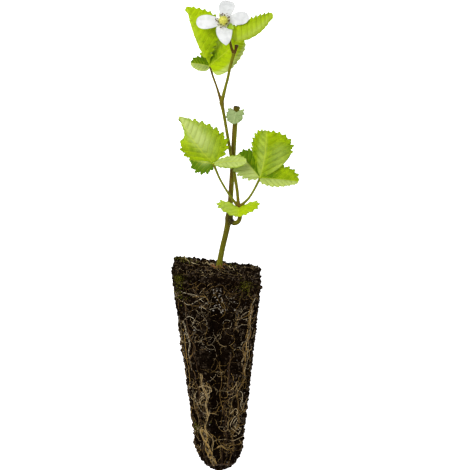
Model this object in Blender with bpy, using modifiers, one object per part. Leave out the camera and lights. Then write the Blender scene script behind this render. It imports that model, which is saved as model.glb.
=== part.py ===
"""A bramble plug plant, laid on the back face of its soil plug.

The plant is modelled as it grew and is then laid down by the empty that carries all of it.
While it grows, the origin is the middle of the soil surface, +X is to the right, +Y is away
from the viewer and +Z is up. Lengths in this file are millimetres and become metres in Blender.
"""
import math
import random

import bmesh
import bpy
from mathutils import Matrix, Vector, noise
from mathutils.bvhtree import BVHTree

NAME = "bramble_plug_plant"
MM = 0.001
GAP = 0.3  # clearance between neighbouring pieces
BLADE = 0.7  # thickness of a leaf blade or petal

# Soil plug: depth below the soil surface and half width there, down to the nose
PLUG_HALF = 26.0
SHOULDER_DEPTH = 107.0
SHOULDER_HALF = 13.9
NOSE = ((112.5, 12.1), (117.0, 9.7), (120.5, 6.4), (122.5, 3.2))
PLUG_SWAY = 0.011  # how far the plug leans to the right as it goes down
PLUG_PROFILE = ((0.0, PLUG_HALF), (SHOULDER_DEPTH, SHOULDER_HALF)) + NOSE
TAPER = (PLUG_HALF - SHOULDER_HALF) / SHOULDER_DEPTH
CORNER = 0.2  # corner radius as a share of the half width
NOSE_CORNER = 0.75
SOIL_SLOPE = 0.107  # how much the soil surface rises towards the left
SOIL_LUMPS = 2.0
LUMP_SIZE = 5.0
RELIEF = 1.2  # deepest hollow between crumbs on the sides
RELIEF_SIZE = 2.5
RELIEF_PLACE = Vector((7.0, 1.0, 2.0))
LEVEL_BELOW = 40.0  # depth below which the rows no longer follow the soil surface
HEAD_ROWS = 6
HEAD_ROW_STEP = 3.0
BODY_ROWS = 15
SIDE_STEPS = 7  # grid columns from the middle of a side to its corner

# Grooves down the middle of the four sides
GROOVE_LIP = 5.4
GROOVE_FLOOR = 2.2
GROOVE_DEPTH = 2.6
GROOVE_START = 6.0
GROOVE_END = 116.0
GROOVE_FADE = 12.0
LIP_SHARE = 0.42  # a groove's lip stays within this share of the plug's half width
BACK_GROOVE_START = 14.0

# The point of the back face that the row's origin lies on, measured down from the soil surface
REST_DEPTH = 6.0
LEAN = math.atan(TAPER)

# Roots on the outside. A place is a turn of 0 to 4 round the plug, which starts at the front's
# left edge and counts a side as 1, and a depth
ROOT_STEP = 3.8
RING_DEPTH = 117.5
RING_RADIUS = 0.65
ROOT_BEND = 1.3
LINK_BEND = 2.0
LONG_ROOTS = (  # where it starts, how far it drifts round, and its radius
    ((0.12, 14.0), 0.10, 0.5), ((0.26, 58.0), 0.14, 0.65), ((0.70, 46.0), -0.08, 0.5),
    ((0.94, 16.0), -0.12, 0.6), ((1.28, 22.0), 0.08, 0.5), ((1.74, 40.0), -0.10, 0.45),
    ((2.50, 44.0), 0.0, 0.45), ((3.26, 40.0), 0.10, 0.45), ((3.74, 20.0), -0.10, 0.5),
)
LINK_ROOTS = (  # from one long root and a share of its length to another, and its radius
    (0, 0.15, 1, 0.30, 0.45), (0, 0.45, 1, 0.55, 0.4), (2, 0.10, 3, 0.55, 0.45),
    (2, 0.50, 3, 0.75, 0.4), (3, 0.20, 4, 0.40, 0.45), (4, 0.35, 5, 0.50, 0.4),
    (7, 0.25, 8, 0.45, 0.4), (8, 0.20, 0, 0.45, 0.45), (8, 0.60, 0, 0.75, 0.4),
)

# Routes of the stem: points of x, y, z and radius
CANE = (
    (-1.1, 5.2, -10.4, 1.5), (1.1, 4.0, 1.5, 1.65), (2.9, 3.0, 11.4, 1.6), (5.3, 1.0, 22.0, 1.6),
    (6.5, 0.3, 28.0, 1.8), (7.1, 0.0, 31.2, 2.3), (7.4, 0.0, 34.5, 1.8), (7.8, 0.0, 40.0, 1.5),
    (8.5, 0.0, 51.0, 1.4), (9.1, 0.0, 60.0, 1.4), (10.0, 0.3, 77.0, 1.4), (10.6, 0.8, 86.0, 1.5),
    (11.7, 1.0, 96.8, 1.6),
)
CANE_HOLE = 13.0  # depth of the hole below the soil surface
ABOVE_SOIL = 8.0  # how far the hole's cutter stands out of the soil

# Side shoot from the hook to its upper node, and what branches from it
SHOOT = (
    (7.6, -0.6, 30.6, 1.3), (10.0, -2.6, 28.6, 1.1), (12.6, -4.4, 30.0, 1.0), (13.5, -4.9, 33.2, 1.0),
    (13.0, -4.7, 36.2, 1.0), (12.7, -4.5, 38.6, 1.1), (12.4, -4.3, 42.0, 0.75), (11.8, -4.0, 48.5, 0.7),
    (10.3, -4.0, 57.9, 0.7), (8.8, -3.6, 65.5, 0.7), (7.7, -3.5, 71.9, 0.7), (5.4, -3.0, 85.3, 0.7),
    (3.7, -2.3, 95.0, 0.75), (2.8, -2.0, 99.7, 1.15),
)
STALK_LEFT = (
    (12.6, -4.6, 38.4, 0.8), (10.4, -5.2, 41.6, 0.6), (8.3, -5.6, 44.5, 0.55), (4.8, -6.3, 50.0, 0.5),
    (1.3, -7.2, 56.6, 0.5),
)
STALK_RIGHT = ((12.9, -4.6, 38.4, 0.8), (18.2, -6.2, 43.6, 0.55), (21.6, -7.2, 49.0, 0.5))
STALK_TOP = (
    (2.8, -2.0, 99.4, 0.8), (0.2, 0.4, 107.6, 0.5), (-2.2, 3.2, 114.0, 0.5), (-3.3, 4.2, 117.6, 0.5),
)
PEDUNCLE = (
    (2.9, -2.0, 99.6, 0.9), (5.4, -3.0, 109.7, 0.65), (6.3, -3.8, 113.0, 0.65), (7.7, -5.2, 119.6, 0.65),
    (9.9, -6.0, 127.8, 0.8),
)
PEDICEL = (
    (9.9, -6.0, 127.6, 0.7), (8.6, -5.8, 131.2, 0.55), (7.3, -4.6, 136.0, 0.55),
    (5.8, -3.0, 141.0, 0.55),
)
BUD_BRANCH = ((9.9, -6.0, 127.6, 0.7), (11.1, -6.4, 130.6, 0.6), (11.5, -6.5, 133.0, 0.95))

# Where the three leaflets of a leaf meet
HUB = 1.1
HUB_LEFT = (-1.9, -8.0, 64.7)
HUB_RIGHT = (25.1, -8.0, 56.2)
HUB_TOP = (-4.1, 1.0, 120.2)

# Flower: the middle of the cup's rim, the way it faces, and levels along that axis
FLOWER = (4.1, -7.6, 146.2)
FLOWER_FACES = (-0.04, -0.96, 0.27)
CUP_RADIUS = 2.8
CUP_FOOT = 1.2
CUP_DEPTH = 3.0
PETAL_START = 1.7
SEPAL_ANGLES = (30.0, 102.0, 174.0, 246.0, 320.0)
RING_INNER = 2.4
RING_OUTER = 3.2
RING_LEVEL = 1.9
RING_HEIGHT = 0.7
STAMENS = 20
FILAMENT = 0.28
ANTHER = 0.6
INNER_STAMEN = (3.0, 3.5, 5.0)  # radius at the knee and at the anther, and the anther's level
OUTER_STAMEN = (3.4, 4.4, 4.0)
DOME = 2.1
DOME_FOOT = 0.8
DRUPELET = 0.07  # how much the carpels rise and fall, as a share of the dome's radius

COLOURS = {
    "soil": (0.020, 0.013, 0.009), "root": (0.42, 0.27, 0.13), "stem": (0.25, 0.24, 0.06),
    "leaf": (0.36, 0.52, 0.04), "grey_leaf": (0.42, 0.52, 0.25), "petal": (0.86, 0.86, 0.88),
    "sepal": (0.45, 0.58, 0.08), "anther": (0.30, 0.20, 0.08), "carpel": (0.62, 0.62, 0.10),
}


def clear_scene():
    """Remove every object, so that the script can be run again."""
    for old in list(bpy.data.objects):
        bpy.data.objects.remove(old, do_unlink=True)
    for group in list(bpy.data.collections):
        bpy.data.collections.remove(group)


def new_collection(name):
    group = bpy.data.collections.new(name)
    bpy.context.scene.collection.children.link(group)
    return group


def material(name):
    found = bpy.data.materials.get(name)
    if found:
        return found
    made = bpy.data.materials.new(name)
    made.use_nodes = True
    shader = made.node_tree.nodes["Principled BSDF"]
    shader.inputs["Base Color"].default_value = (*COLOURS[name], 1.0)
    shader.inputs["Roughness"].default_value = 0.6
    shader.inputs["Metallic"].default_value = 0.0
    return made


def to_object(name, bm, group):
    """Turn a bmesh in millimetres into an object in metres."""
    bmesh.ops.scale(bm, vec=(MM, MM, MM), verts=bm.verts)
    mesh = bpy.data.meshes.new(name)
    bm.to_mesh(mesh)
    bm.free()
    made = bpy.data.objects.new(name, mesh)
    group.objects.link(made)
    return made


def bake(target):
    """Apply an object's modifiers by swapping in its evaluated mesh."""
    seen = target.evaluated_get(bpy.context.evaluated_depsgraph_get())
    mesh = bpy.data.meshes.new_from_object(seen)
    target.modifiers.clear()
    target.data = mesh


def keep_largest(target):
    """Drop the scraps and sealed hollows that a union leaves beside the main body."""
    bm = bmesh.new()
    bm.from_mesh(target.data)
    bodies, waiting = [], set(bm.verts)
    while waiting:
        body, edge = set(), [next(iter(waiting))]
        while edge:
            vert = edge.pop()
            if vert not in body:
                body.add(vert)
                edge.extend(link.other_vert(vert) for link in vert.link_edges)
        waiting -= body
        bodies.append(body)
    for body in sorted(bodies, key=len)[:-1]:
        bmesh.ops.delete(bm, geom=list(body), context="VERTS")
    bm.to_mesh(target.data)
    bm.free()


def join(target, pieces):
    """Fuse the pieces into the target by one union, and remove them."""
    others = new_collection("to_fuse")
    for piece in pieces:
        for home in list(piece.users_collection):
            home.objects.unlink(piece)
        others.objects.link(piece)
    union = target.modifiers.new("union", "BOOLEAN")
    union.operation = "UNION"
    union.solver = "MANIFOLD"
    union.operand_type = "COLLECTION"
    union.collection = others
    bake(target)
    for piece in pieces:
        bpy.data.objects.remove(piece, do_unlink=True)
    bpy.data.collections.remove(others)
    keep_largest(target)
    return target


def finish(target, look):
    target.data.materials.clear()
    target.data.materials.append(material(look))
    target.parent = CARRIER
    return target


def smooth(route, step):
    """Points of a smooth curve through a route's points, each with its radius last."""
    ends = [route[0]] + list(route) + [route[-1]]
    points = []
    for before, start, stop, after in zip(ends, ends[1:], ends[2:], ends[3:]):
        count = max(1, round(math.dist(start[:3], stop[:3]) / step))
        for i in range(count):
            t = i / count
            points.append(tuple(
                0.5 * (2 * b + (c - a) * t + (2 * a - 5 * b + 4 * c - d) * t ** 2
                       + (3 * b - a - 3 * c + d) * t ** 3)
                for a, b, c, d in zip(before, start, stop, after)))
    return points + [route[-1]]


def tube(name, points, group, rounding=2):
    """A closed tube through points of x, y, z and radius."""
    curve = bpy.data.curves.new(name, "CURVE")
    curve.dimensions = "3D"
    curve.bevel_depth = MM
    curve.bevel_resolution = rounding
    curve.use_fill_caps = True
    spline = curve.splines.new("POLY")
    spline.points.add(len(points) - 1)
    for knot, (x, y, z, radius) in zip(spline.points, points):
        knot.co = (x * MM, y * MM, z * MM, 1.0)
        knot.radius = radius
    holder = bpy.data.objects.new(name, curve)
    group.objects.link(holder)
    seen = holder.evaluated_get(bpy.context.evaluated_depsgraph_get())
    bm = bmesh.new()
    bm.from_mesh(bpy.data.meshes.new_from_object(seen))
    bpy.data.objects.remove(holder, do_unlink=True)
    bmesh.ops.remove_doubles(bm, verts=bm.verts, dist=1e-6)
    bmesh.ops.recalc_face_normals(bm, faces=bm.faces)
    mesh = bpy.data.meshes.new(name)
    bm.to_mesh(mesh)
    bm.free()
    made = bpy.data.objects.new(name, mesh)
    group.objects.link(made)
    return made


def ball(name, centre, radius, group, fine=2):
    bm = bmesh.new()
    bmesh.ops.create_icosphere(bm, subdivisions=fine, radius=radius, matrix=Matrix.Translation(centre))
    return to_object(name, bm, group)


def blend(low, high, value):
    """0 below low, 1 above high, and a smooth step between them."""
    share = min(1.0, max(0.0, (value - low) / (high - low)))
    return share * share * (3.0 - 2.0 * share)


def half_width(depth):
    """Half width of the plug at a depth below the soil surface."""
    for (upper, wide), (lower, narrow) in zip(PLUG_PROFILE, PLUG_PROFILE[1:]):
        if depth <= lower:
            return wide + (narrow - wide) * (depth - upper) / (lower - upper)
    return PLUG_PROFILE[-1][1]


def corner_share(depth):
    return CORNER + (NOSE_CORNER - CORNER) * blend(SHOULDER_DEPTH, PLUG_PROFILE[-1][0], depth)


def column(step, half, corner):
    """Distance of a grid line from the side's middle, where step 0 lies."""
    lip = min(GROOVE_LIP, LIP_SHARE * half)
    flat = half * (1.0 - corner)
    lines = (0.0, lip * GROOVE_FLOOR / GROOVE_LIP, 0.7 * lip, lip, 0.5 * (lip + flat), flat,
             half * (1.0 - 0.45 * corner), half)
    return lines[step]


def groove_cut(across, depth, half, start):
    """How deep the groove is at a place on a side."""
    lip = min(GROOVE_LIP, LIP_SHARE * half)
    above = max(0.0, start + lip - depth)
    reach = math.hypot(across, above)
    deep = GROOVE_DEPTH * (1.0 - blend(GROOVE_END - GROOVE_FADE, GROOVE_END, depth))
    return deep * blend(0.0, lip - lip * GROOVE_FLOOR / GROOVE_LIP, lip - reach)


def plug_rows():
    """Depths of the plug's rows, closer at the groove's head and at the nose."""
    head = [HEAD_ROW_STEP * i for i in range(HEAD_ROWS)]
    step = (SHOULDER_DEPTH - head[-1]) / BODY_ROWS
    body = [head[-1] + step * (i + 1) for i in range(BODY_ROWS)]
    return head + body + [depth for depth, _ in NOSE]


def soil_plug(group, cutters):
    """The tapered block of peat: a gridded cube, shaped by its profile, grooves and crumbs."""
    rows = plug_rows()
    bm = bmesh.new()
    bmesh.ops.create_cube(bm, size=2.0)
    upright = [e for e in bm.edges if abs(e.verts[0].co.z - e.verts[1].co.z) > 1.0]
    bmesh.ops.subdivide_edges(bm, edges=upright, cuts=len(rows) - 2, use_grid_fill=True)
    level = [e for e in bm.edges if abs(e.verts[0].co.z - e.verts[1].co.z) < 1e-4]
    bmesh.ops.subdivide_edges(bm, edges=level, cuts=2 * SIDE_STEPS - 1, use_grid_fill=True)
    for vert in bm.verts:
        row = round((1.0 - vert.co.z) / 2.0 * (len(rows) - 1))
        u, v = (round(value * SIDE_STEPS) for value in vert.co.xy)
        vert.co = soil_point(u, v, row, rows)
    tip = min(vert.co.z for vert in bm.verts)
    nose = [face for face in bm.faces if all(vert.co.z < tip + 0.5 for vert in face.verts)]
    bmesh.ops.dissolve_faces(bm, faces=nose)
    bmesh.ops.recalc_face_normals(bm, faces=bm.faces)
    plug = to_object("soil_plug", bm, group)
    foot, mouth = Vector(CANE[0][:3]), Vector(CANE[1][:3])
    run = (mouth - foot).normalized()
    low, high = mouth - run * CANE_HOLE, mouth + run * ABOVE_SOIL
    radius = CANE[1][3] + GAP
    hole = tube("cane_hole", [(*low, radius), (*high, radius)], cutters, 3)
    cut = plug.modifiers.new("cane_hole", "BOOLEAN")
    cut.operation = "DIFFERENCE"
    cut.object = hole
    bake(plug)
    bpy.data.objects.remove(hole, do_unlink=True)
    return finish(plug, "soil")


def soil_point(u, v, row, rows):
    """Place of the grid point in column u, v and row on the plug."""
    if row in (0, len(rows) - 1) and max(abs(u), abs(v)) < SIDE_STEPS:
        return end_point(u, v, row, rows)
    depth = rows[row]
    half = half_width(depth)
    x = math.copysign(column(abs(u), half, corner_share(depth)), u)
    y = math.copysign(column(abs(v), half, corner_share(depth)), v)
    core = half * (1.0 - corner_share(depth))
    depth += SOIL_SLOPE * x * (1.0 - blend(0.0, LEVEL_BELOW, depth))
    half = half_width(depth)
    x = math.copysign(min(abs(x), half) if abs(u) < SIDE_STEPS else half, u)
    y = math.copysign(min(abs(y), half) if abs(v) < SIDE_STEPS else half, v)
    inner = Vector((min(core, max(-core, x)), min(core, max(-core, y))))
    out = (Vector((x, y)) - inner).normalized()
    place = inner + out * (half - core)
    back = out.y > 0.99
    across = abs(y) if abs(out.x) > abs(out.y) else abs(x)
    cut = groove_cut(across, depth, half, BACK_GROOVE_START if back else GROOVE_START)
    resting = back and depth < SHOULDER_DEPTH + 1.0 and cut < 0.2
    if not resting:
        spot = Vector((place.x, place.y, -depth)) / RELIEF_SIZE + RELIEF_PLACE
        cut += RELIEF * min(1.0, half / SHOULDER_HALF) * (0.5 + 0.5 * noise.noise(spot))
    place -= out * cut
    return Vector((place.x + PLUG_SWAY * depth, place.y, -depth))


def end_point(u, v, row, rows):
    """Place of a grid point on the lumpy soil surface or on the nose's small flat end."""
    half = half_width(rows[row]) - RELIEF / 2
    x = math.copysign(column(abs(u), half, corner_share(rows[row])), u)
    y = math.copysign(column(abs(v), half, corner_share(rows[row])), v)
    if row:
        z = soil_point(SIDE_STEPS, 0, row, rows).z
    else:
        z = SOIL_LUMPS * noise.noise(Vector((x, y, 3.0)) / LUMP_SIZE) - SOIL_SLOPE * x
    return Vector((x - PLUG_SWAY * z, y, z))


def leaf_blade(name, group, base, tip, face, wide, widest=(0.45, 0.45), blunt=(0.6, 0.6),
               fold=(20.0, 20.0), heart=0.0, arch=0.05, sway=0.0, curl=0.25, teeth=9, tooth=1.1,
               wave=0.0, turns=1.5, neck=0.6, columns=(0.0, 0.62, 1.0)):
    """A thin blade from base to tip with its upper side towards face.

    Pairs are for its left and its right half, seen from above with the tip up: wide is the half
    width, widest where along the length it is reached, blunt how the outline closes at the tip,
    small for a round end, and fold how far the half rises from the midrib in degrees. heart
    sweeps the lobes back past the base, arch lifts the middle of the midrib and sway bends it
    sideways, as shares of the length. curl bends the margins down again, and wave is the height
    of turns ripples.
    """
    base, tip, face = Vector(base), Vector(tip), Vector(face)
    length = (tip - base).length
    along = (tip - base) / length
    up = (face - along * face.dot(along)).normalized()
    across = along.cross(up)
    rows = 2 * teeth
    outer = len(columns) - 1
    bm = bmesh.new()

    def spot(row, side, step):
        t = row / rows
        half = int(side > 0)
        rise = blunt[half] * widest[half] / (1.0 - widest[half])
        peak = widest[half] ** rise * (1.0 - widest[half]) ** blunt[half]
        swell = t ** rise * (1.0 - t) ** blunt[half] / peak
        width = neck + (wide[half] - neck) * swell
        inside = 0 < row < rows and step == outer
        if inside:
            width += tooth * (0.5 if row % 2 else -0.5) * min(1.0, width / 3.0)
        share = columns[step]
        angle = math.radians(fold[half]) * blend(0.0, 4.0, width)
        out = width * share * math.cos(angle)
        lift = width * share * math.sin(angle) * (1.0 - curl * share)
        lift += wave * math.sin(math.tau * turns * t + side) * share ** 2 * swell
        forward = 0.35 * length / rows if row % 2 and inside else 0.0
        forward -= heart * width * share * (1.0 - t) ** 2
        bow = 4.0 * t * (1.0 - t) * length
        return (base + along * (length * t + forward) + across * (side * out + sway * bow)
                + up * (lift + arch * bow))

    grid = []
    for row in range(rows + 1):
        line = [bm.verts.new(spot(row, -1, step)) for step in range(outer, 0, -1)]
        line += [bm.verts.new(spot(row, 1, step)) for step in range(outer + 1)]
        grid.append(line)
    for lower, upper in zip(grid, grid[1:]):
        for i in range(len(lower) - 1):
            corners = (lower[i], lower[i + 1], upper[i + 1], upper[i])
            if i < outer:
                bm.faces.new((corners[0], corners[1], corners[2]))
                bm.faces.new((corners[0], corners[2], corners[3]))
            else:
                bm.faces.new((corners[0], corners[1], corners[3]))
                bm.faces.new((corners[1], corners[2], corners[3]))
    blade = to_object(name, bm, group)
    wall = blade.modifiers.new("thickness", "SOLIDIFY")
    wall.thickness = BLADE * MM
    wall.offset = 0.0
    bake(blade)
    return blade


def leaf(name, group, hub, leaflets, look="leaf"):
    """Three leaflets fused at their hub."""
    blades = [leaf_blade("leaflet", group, **sizes) for sizes in leaflets]
    centre = ball(name, hub, HUB, group)
    return finish(join(centre, blades), look)


def near_hub(hub, tip, start=0.5):
    """Where a leaflet starts, a little way from the hub towards its tip."""
    return Vector(hub) + (Vector(tip) - Vector(hub)).normalized() * start


def leaf_left(group):
    big, low, right = (-21.2, -5.0, 90.4), (-14.9, -1.5, 63.9), (17.2, -13.0, 66.8)
    return leaf("leaf_left", group, HUB_LEFT, (
        dict(base=near_hub(HUB_LEFT, big), tip=big, face=(0.0, -1.0, 0.15), wide=(13.0, 14.2),
             widest=(0.42, 0.3), blunt=(0.8, 0.66), fold=(-54.0, 4.0), sway=-0.02,
             curl=0.1, teeth=11, tooth=1.6, wave=0.6, turns=2.5),
        dict(base=near_hub(HUB_LEFT, low), tip=low, face=(0.0, -1.0, -0.1), wide=(6.6, 4.6),
             widest=(0.5, 0.5), blunt=(0.42, 0.42), fold=(10.0, 0.0), heart=0.2, teeth=7, tooth=1.4),
        dict(base=near_hub(HUB_LEFT, right), tip=right, face=(0.0, -0.8, 0.6), wide=(5.0, 6.0),
             widest=(0.5, 0.5), fold=(-14.0, 24.0), arch=0.04, teeth=7, tooth=0.8),
    ))


def leaf_right(group):
    big, dark, low = (28.8, -6.0, 83.2), (12.6, -5.6, 70.0), (47.3, -11.0, 54.6)
    return leaf("leaf_right", group, HUB_RIGHT, (
        dict(base=near_hub(HUB_RIGHT, big), tip=big, face=(0.1, -1.0, 0.1), wide=(10.0, 14.4),
             widest=(0.64, 0.64), blunt=(0.34, 0.34), fold=(-42.0, 8.0), sway=0.04, curl=0.1,
             teeth=11, tooth=1.4, wave=0.7),
        dict(base=near_hub(HUB_RIGHT, dark), tip=dark, face=(0.0, -1.0, 0.3), wide=(8.6, 8.8),
             widest=(0.6, 0.6), blunt=(0.42, 0.42), fold=(6.0, -25.0), teeth=8, tooth=1.4),
        dict(base=near_hub(HUB_RIGHT, low), tip=low, face=(0.0, -0.8, 0.6), wide=(8.4, 7.4),
             widest=(0.52, 0.45), blunt=(0.5, 0.5), fold=(12.0, 30.0), heart=0.15, arch=0.03,
             teeth=9, tooth=1.4, wave=0.4),
    ))


def leaf_top(group):
    big, small, right = (-17.9, 5.0, 152.4), (-14.8, -3.0, 122.3), (15.2, 5.5, 135.4)
    return leaf("leaf_top", group, HUB_TOP, (
        dict(base=near_hub(HUB_TOP, big), tip=big, face=(0.0, -1.0, 0.1), wide=(8.0, 13.4),
             widest=(0.5, 0.55), blunt=(0.7, 0.7), fold=(-96.0, 6.0), sway=-0.055, curl=0.1,
             teeth=12, tooth=1.4, wave=0.5),
        dict(base=near_hub(HUB_TOP, small), tip=small, face=(0.0, -1.0, 0.4), wide=(5.0, 4.6),
             widest=(0.5, 0.5), blunt=(0.5, 0.5), fold=(30.0, 10.0), teeth=6, tooth=0.9),
        dict(base=near_hub(HUB_TOP, right), tip=right, face=(-0.1, -1.0, 0.35), wide=(9.5, 10.4),
             widest=(0.42, 0.34), blunt=(0.5, 0.5), fold=(-14.0, 14.0), heart=0.3, curl=0.35,
             teeth=10, tooth=1.4, wave=0.5),
    ))


def single_leaf(name, group, look="leaf", **sizes):
    return finish(leaf_blade(name, group, **sizes), look)


def stem(group):
    """The cane, the side shoot and every stalk, grown as one piece."""
    run = smooth(CANE, 5.0)
    body = tube("stem", run, group)
    parts = [tube("shoot", smooth(SHOOT, 4.0), group)]
    for route, hub in ((STALK_LEFT, HUB_LEFT), (STALK_RIGHT, HUB_RIGHT), (STALK_TOP, HUB_TOP)):
        last, middle = Vector(route[-1][:3]), Vector(hub)
        end = middle + (last - middle).normalized() * (HUB + GAP)
        parts.append(tube("stalk", smooth((*route, (*end, 0.6)), 5.0), group))
    parts.append(tube("peduncle", smooth(PEDUNCLE, 5.0), group))
    neck, foot = (around(0.0, 0.0, -CUP_DEPTH - behind) for behind in (2.2, GAP))
    parts.append(tube("pedicel", smooth((*PEDICEL, (*neck, 0.6), (*foot, 0.7)), 4.0), group))
    parts.append(tube("bud_branch", smooth(BUD_BRANCH, 3.0), group))
    return finish(join(body, parts), "stem")


def flower_frame():
    """The flower's own frame: X to the right, Y up its face and Z out of it."""
    out = Vector(FLOWER_FACES).normalized()
    right = Vector((0.0, 0.0, 1.0)).cross(out).normalized()
    up = out.cross(right)
    return Matrix.Translation(FLOWER) @ Matrix((right, up, out)).transposed().to_4x4()


def around(angle, radius, level):
    """A point of the flower at an angle in degrees, a radius and a level."""
    turn = math.radians(angle)
    return FLOWER_FRAME @ Vector((radius * math.cos(turn), radius * math.sin(turn), level))


def calyx(group):
    """The cup and its five sepals."""
    bm = bmesh.new()
    bmesh.ops.create_cone(bm, segments=14, radius1=CUP_FOOT, radius2=CUP_RADIUS, depth=CUP_DEPTH,
                          cap_ends=True, matrix=FLOWER_FRAME @ Matrix.Translation((0, 0, -CUP_DEPTH / 2)))
    cup = to_object("calyx", bm, group)
    sepals = [
        leaf_blade("sepal", group, base=around(angle, 1.4, -1.0), tip=around(angle, 7.6, -3.4),
                   face=FLOWER_FACES, wide=(1.7, 1.7), widest=(0.4, 0.4), blunt=(0.8, 0.8),
                   fold=(12.0, 12.0), arch=0.08, teeth=3, tooth=0.0, columns=(0.0, 1.0))
        for angle in SEPAL_ANGLES]
    return finish(join(cup, sepals), "sepal")


def petal(name, group, angle, reach, lift, wide, widest=0.66, blunt=0.4, arch=0.02, fold=8.0):
    """A petal that starts inside the cup's rim and ends at a reach and a lift from it."""
    start = GAP + BLADE / 2
    return single_leaf(
        name, group, "petal", base=around(angle, PETAL_START, start), tip=around(angle, reach, start + lift),
        face=FLOWER_FACES, wide=(wide, wide), widest=(widest, widest), blunt=(blunt, blunt), arch=arch,
        fold=(fold, fold), curl=0.5, teeth=6, tooth=0.0, wave=0.3, neck=0.9)


def carpels(group):
    """The dome of carpels on its short foot."""
    middle = GAP + DOME_FOOT + DOME
    bm = bmesh.new()
    bmesh.ops.create_uvsphere(bm, u_segments=16, v_segments=10, radius=DOME)
    for i, vert in enumerate(bm.verts):
        vert.co *= 1.0 + (DRUPELET if i % 2 else -DRUPELET)
    bmesh.ops.transform(bm, matrix=FLOWER_FRAME @ Matrix.Translation((0, 0, middle)), verts=bm.verts)
    dome = to_object("carpels", bm, group)
    low, high = around(0.0, 0.0, GAP), around(0.0, 0.0, middle)
    return finish(join(dome, [tube("foot", [(*low, 1.2), (*high, 1.0)], group)]), "carpel")


def stamen_ring(group):
    """The ring that holds the filaments, with a square section."""
    top = RING_LEVEL + RING_HEIGHT
    bm = bmesh.new()
    loops = [[bm.verts.new(around(360.0 * i / STAMENS, radius, level)) for i in range(STAMENS)]
             for radius, level in ((RING_INNER, RING_LEVEL), (RING_OUTER, RING_LEVEL),
                                   (RING_OUTER, top), (RING_INNER, top))]
    for side in range(4):
        lower, upper = loops[side], loops[(side + 1) % 4]
        for i in range(STAMENS):
            j = (i + 1) % STAMENS
            bm.faces.new((lower[i], lower[j], upper[j], upper[i]))
    bmesh.ops.recalc_face_normals(bm, faces=bm.faces)
    return to_object("stamens", bm, group)


def stamens(group):
    """Filaments that rise from one ring, each with its anther."""
    ring = stamen_ring(group)
    draw = random.Random(11)
    middle, start = 0.5 * (RING_INNER + RING_OUTER), RING_LEVEL + RING_HEIGHT / 2
    parts = []
    for i in range(STAMENS):
        angle = 360.0 * i / STAMENS
        knee, reach, level = OUTER_STAMEN if i % 2 else INNER_STAMEN
        reach += draw.uniform(-0.2, 0.2)
        level += draw.uniform(-0.3, 0.3)
        route = (around(angle, middle, start), around(angle, knee, 0.5 * (start + level)),
                 around(angle, reach, level))
        parts.append(tube("filament", [(*point, FILAMENT) for point in route], group, 0))
        parts.append(ball("anther", route[-1], ANTHER, group, 1))
    return finish(join(ring, parts), "anther")


def side_ray(turn, depth):
    """A point outside the plug and the way in, at a turn of 0 to 4 round it and a depth."""
    half = half_width(depth)
    core = 0.7 * half
    out = Vector(((0, -1), (1, 0), (0, 1), (-1, 0))[int(turn) % 4])
    along = Vector((-out.y, out.x))
    place = out * half + along * half * (2.0 * (turn % 1.0) - 1.0)
    inner = Vector([min(core, max(-core, value)) for value in place])
    out = (place - inner).normalized()
    return Vector((*(place + out * PLUG_HALF / 2), -depth)), Vector((*-out, 0.0))


def on_soil(tree, turn, depth, radius):
    """Centre of a root of this radius where it lies on the soil."""
    start, way = side_ray(turn, depth)
    hit, normal, _, _ = tree.ray_cast(start * MM, way)
    return hit / MM + normal * (radius + GAP)


def clear_of_soil(tree, points):
    """Move points out where the straight run between two of them comes too near the soil."""
    for _ in range(6):
        for i in range(len(points) - 1):
            for share in (0.0, 0.25, 0.5, 0.75, 1.0):
                spot = points[i].lerp(points[i + 1], share)
                near, normal, _, _ = tree.find_nearest(spot.xyz * MM)
                short = spot.w + GAP + 0.05 - (spot.xyz - near / MM).dot(normal)
                if short > 0.0:
                    push = Vector((*(normal * short), 0.0))
                    points[i] += push
                    points[i + 1] += push
    return points


def root_route(tree, start, stop, radius, bend, seed, step=ROOT_STEP):
    """The places that a root winds through from start to stop, and its points with radii."""
    draw = random.Random(seed)
    first, second = draw.uniform(0.0, math.tau), draw.uniform(0.0, math.tau)
    across = 2.0 * half_width(0.5 * (start[1] + stop[1]))
    reach = Vector(((stop[0] - start[0]) * across, stop[1] - start[1]))
    beside = Vector((-reach.y, reach.x)).normalized()
    count = max(4, round(reach.length / step))
    places, points = [], []
    for i in range(count + 1):
        t = i / count
        waves = math.sin(first + reach.length * t / 4.5) + 0.6 * math.sin(second + reach.length * t / 2.3)
        shift = beside * bend * min(1.0, 4.0 * t, 4.0 - 4.0 * t) * waves
        turn = start[0] + (reach.x * t + shift.x) / across
        depth = start[1] + reach.y * t + shift.y
        places.append((turn, depth))
        points.append(Vector((*on_soil(tree, turn, depth, radius), radius * (1.1 - 0.2 * t))))
    return places, clear_of_soil(tree, points)


def root_net(group, plug):
    """Long roots down the outside of the plug to a ring round its nose, and links between."""
    tree = BVHTree.FromObject(plug, bpy.context.evaluated_depsgraph_get())
    ring = root_route(tree, (0.0, RING_DEPTH), (4.0, RING_DEPTH), RING_RADIUS, 0.4, 1, step=3.0)
    runs = [root_route(tree, start, (start[0] + drift, RING_DEPTH + 1.0), radius, ROOT_BEND, seed)
            for seed, (start, drift, radius) in enumerate(LONG_ROOTS)]
    links = []
    for seed, (first, begin, second, end, radius) in enumerate(LINK_ROOTS):
        here, there = runs[first][0], runs[second][0]
        start, stop = here[round(begin * (len(here) - 1))], there[round(end * (len(there) - 1))]
        stop = (stop[0] + round((start[0] - stop[0]) / 4.0) * 4.0, stop[1])
        links.append(root_route(tree, start, stop, radius, LINK_BEND, seed + 50))
    body = tube("root_net", ring[1], group, 1)
    parts = [tube("root", route[1], group, 1) for route in runs]
    parts += [tube("root", route[1], group, 0) for route in links]
    return finish(join(body, parts), "root")


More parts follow.
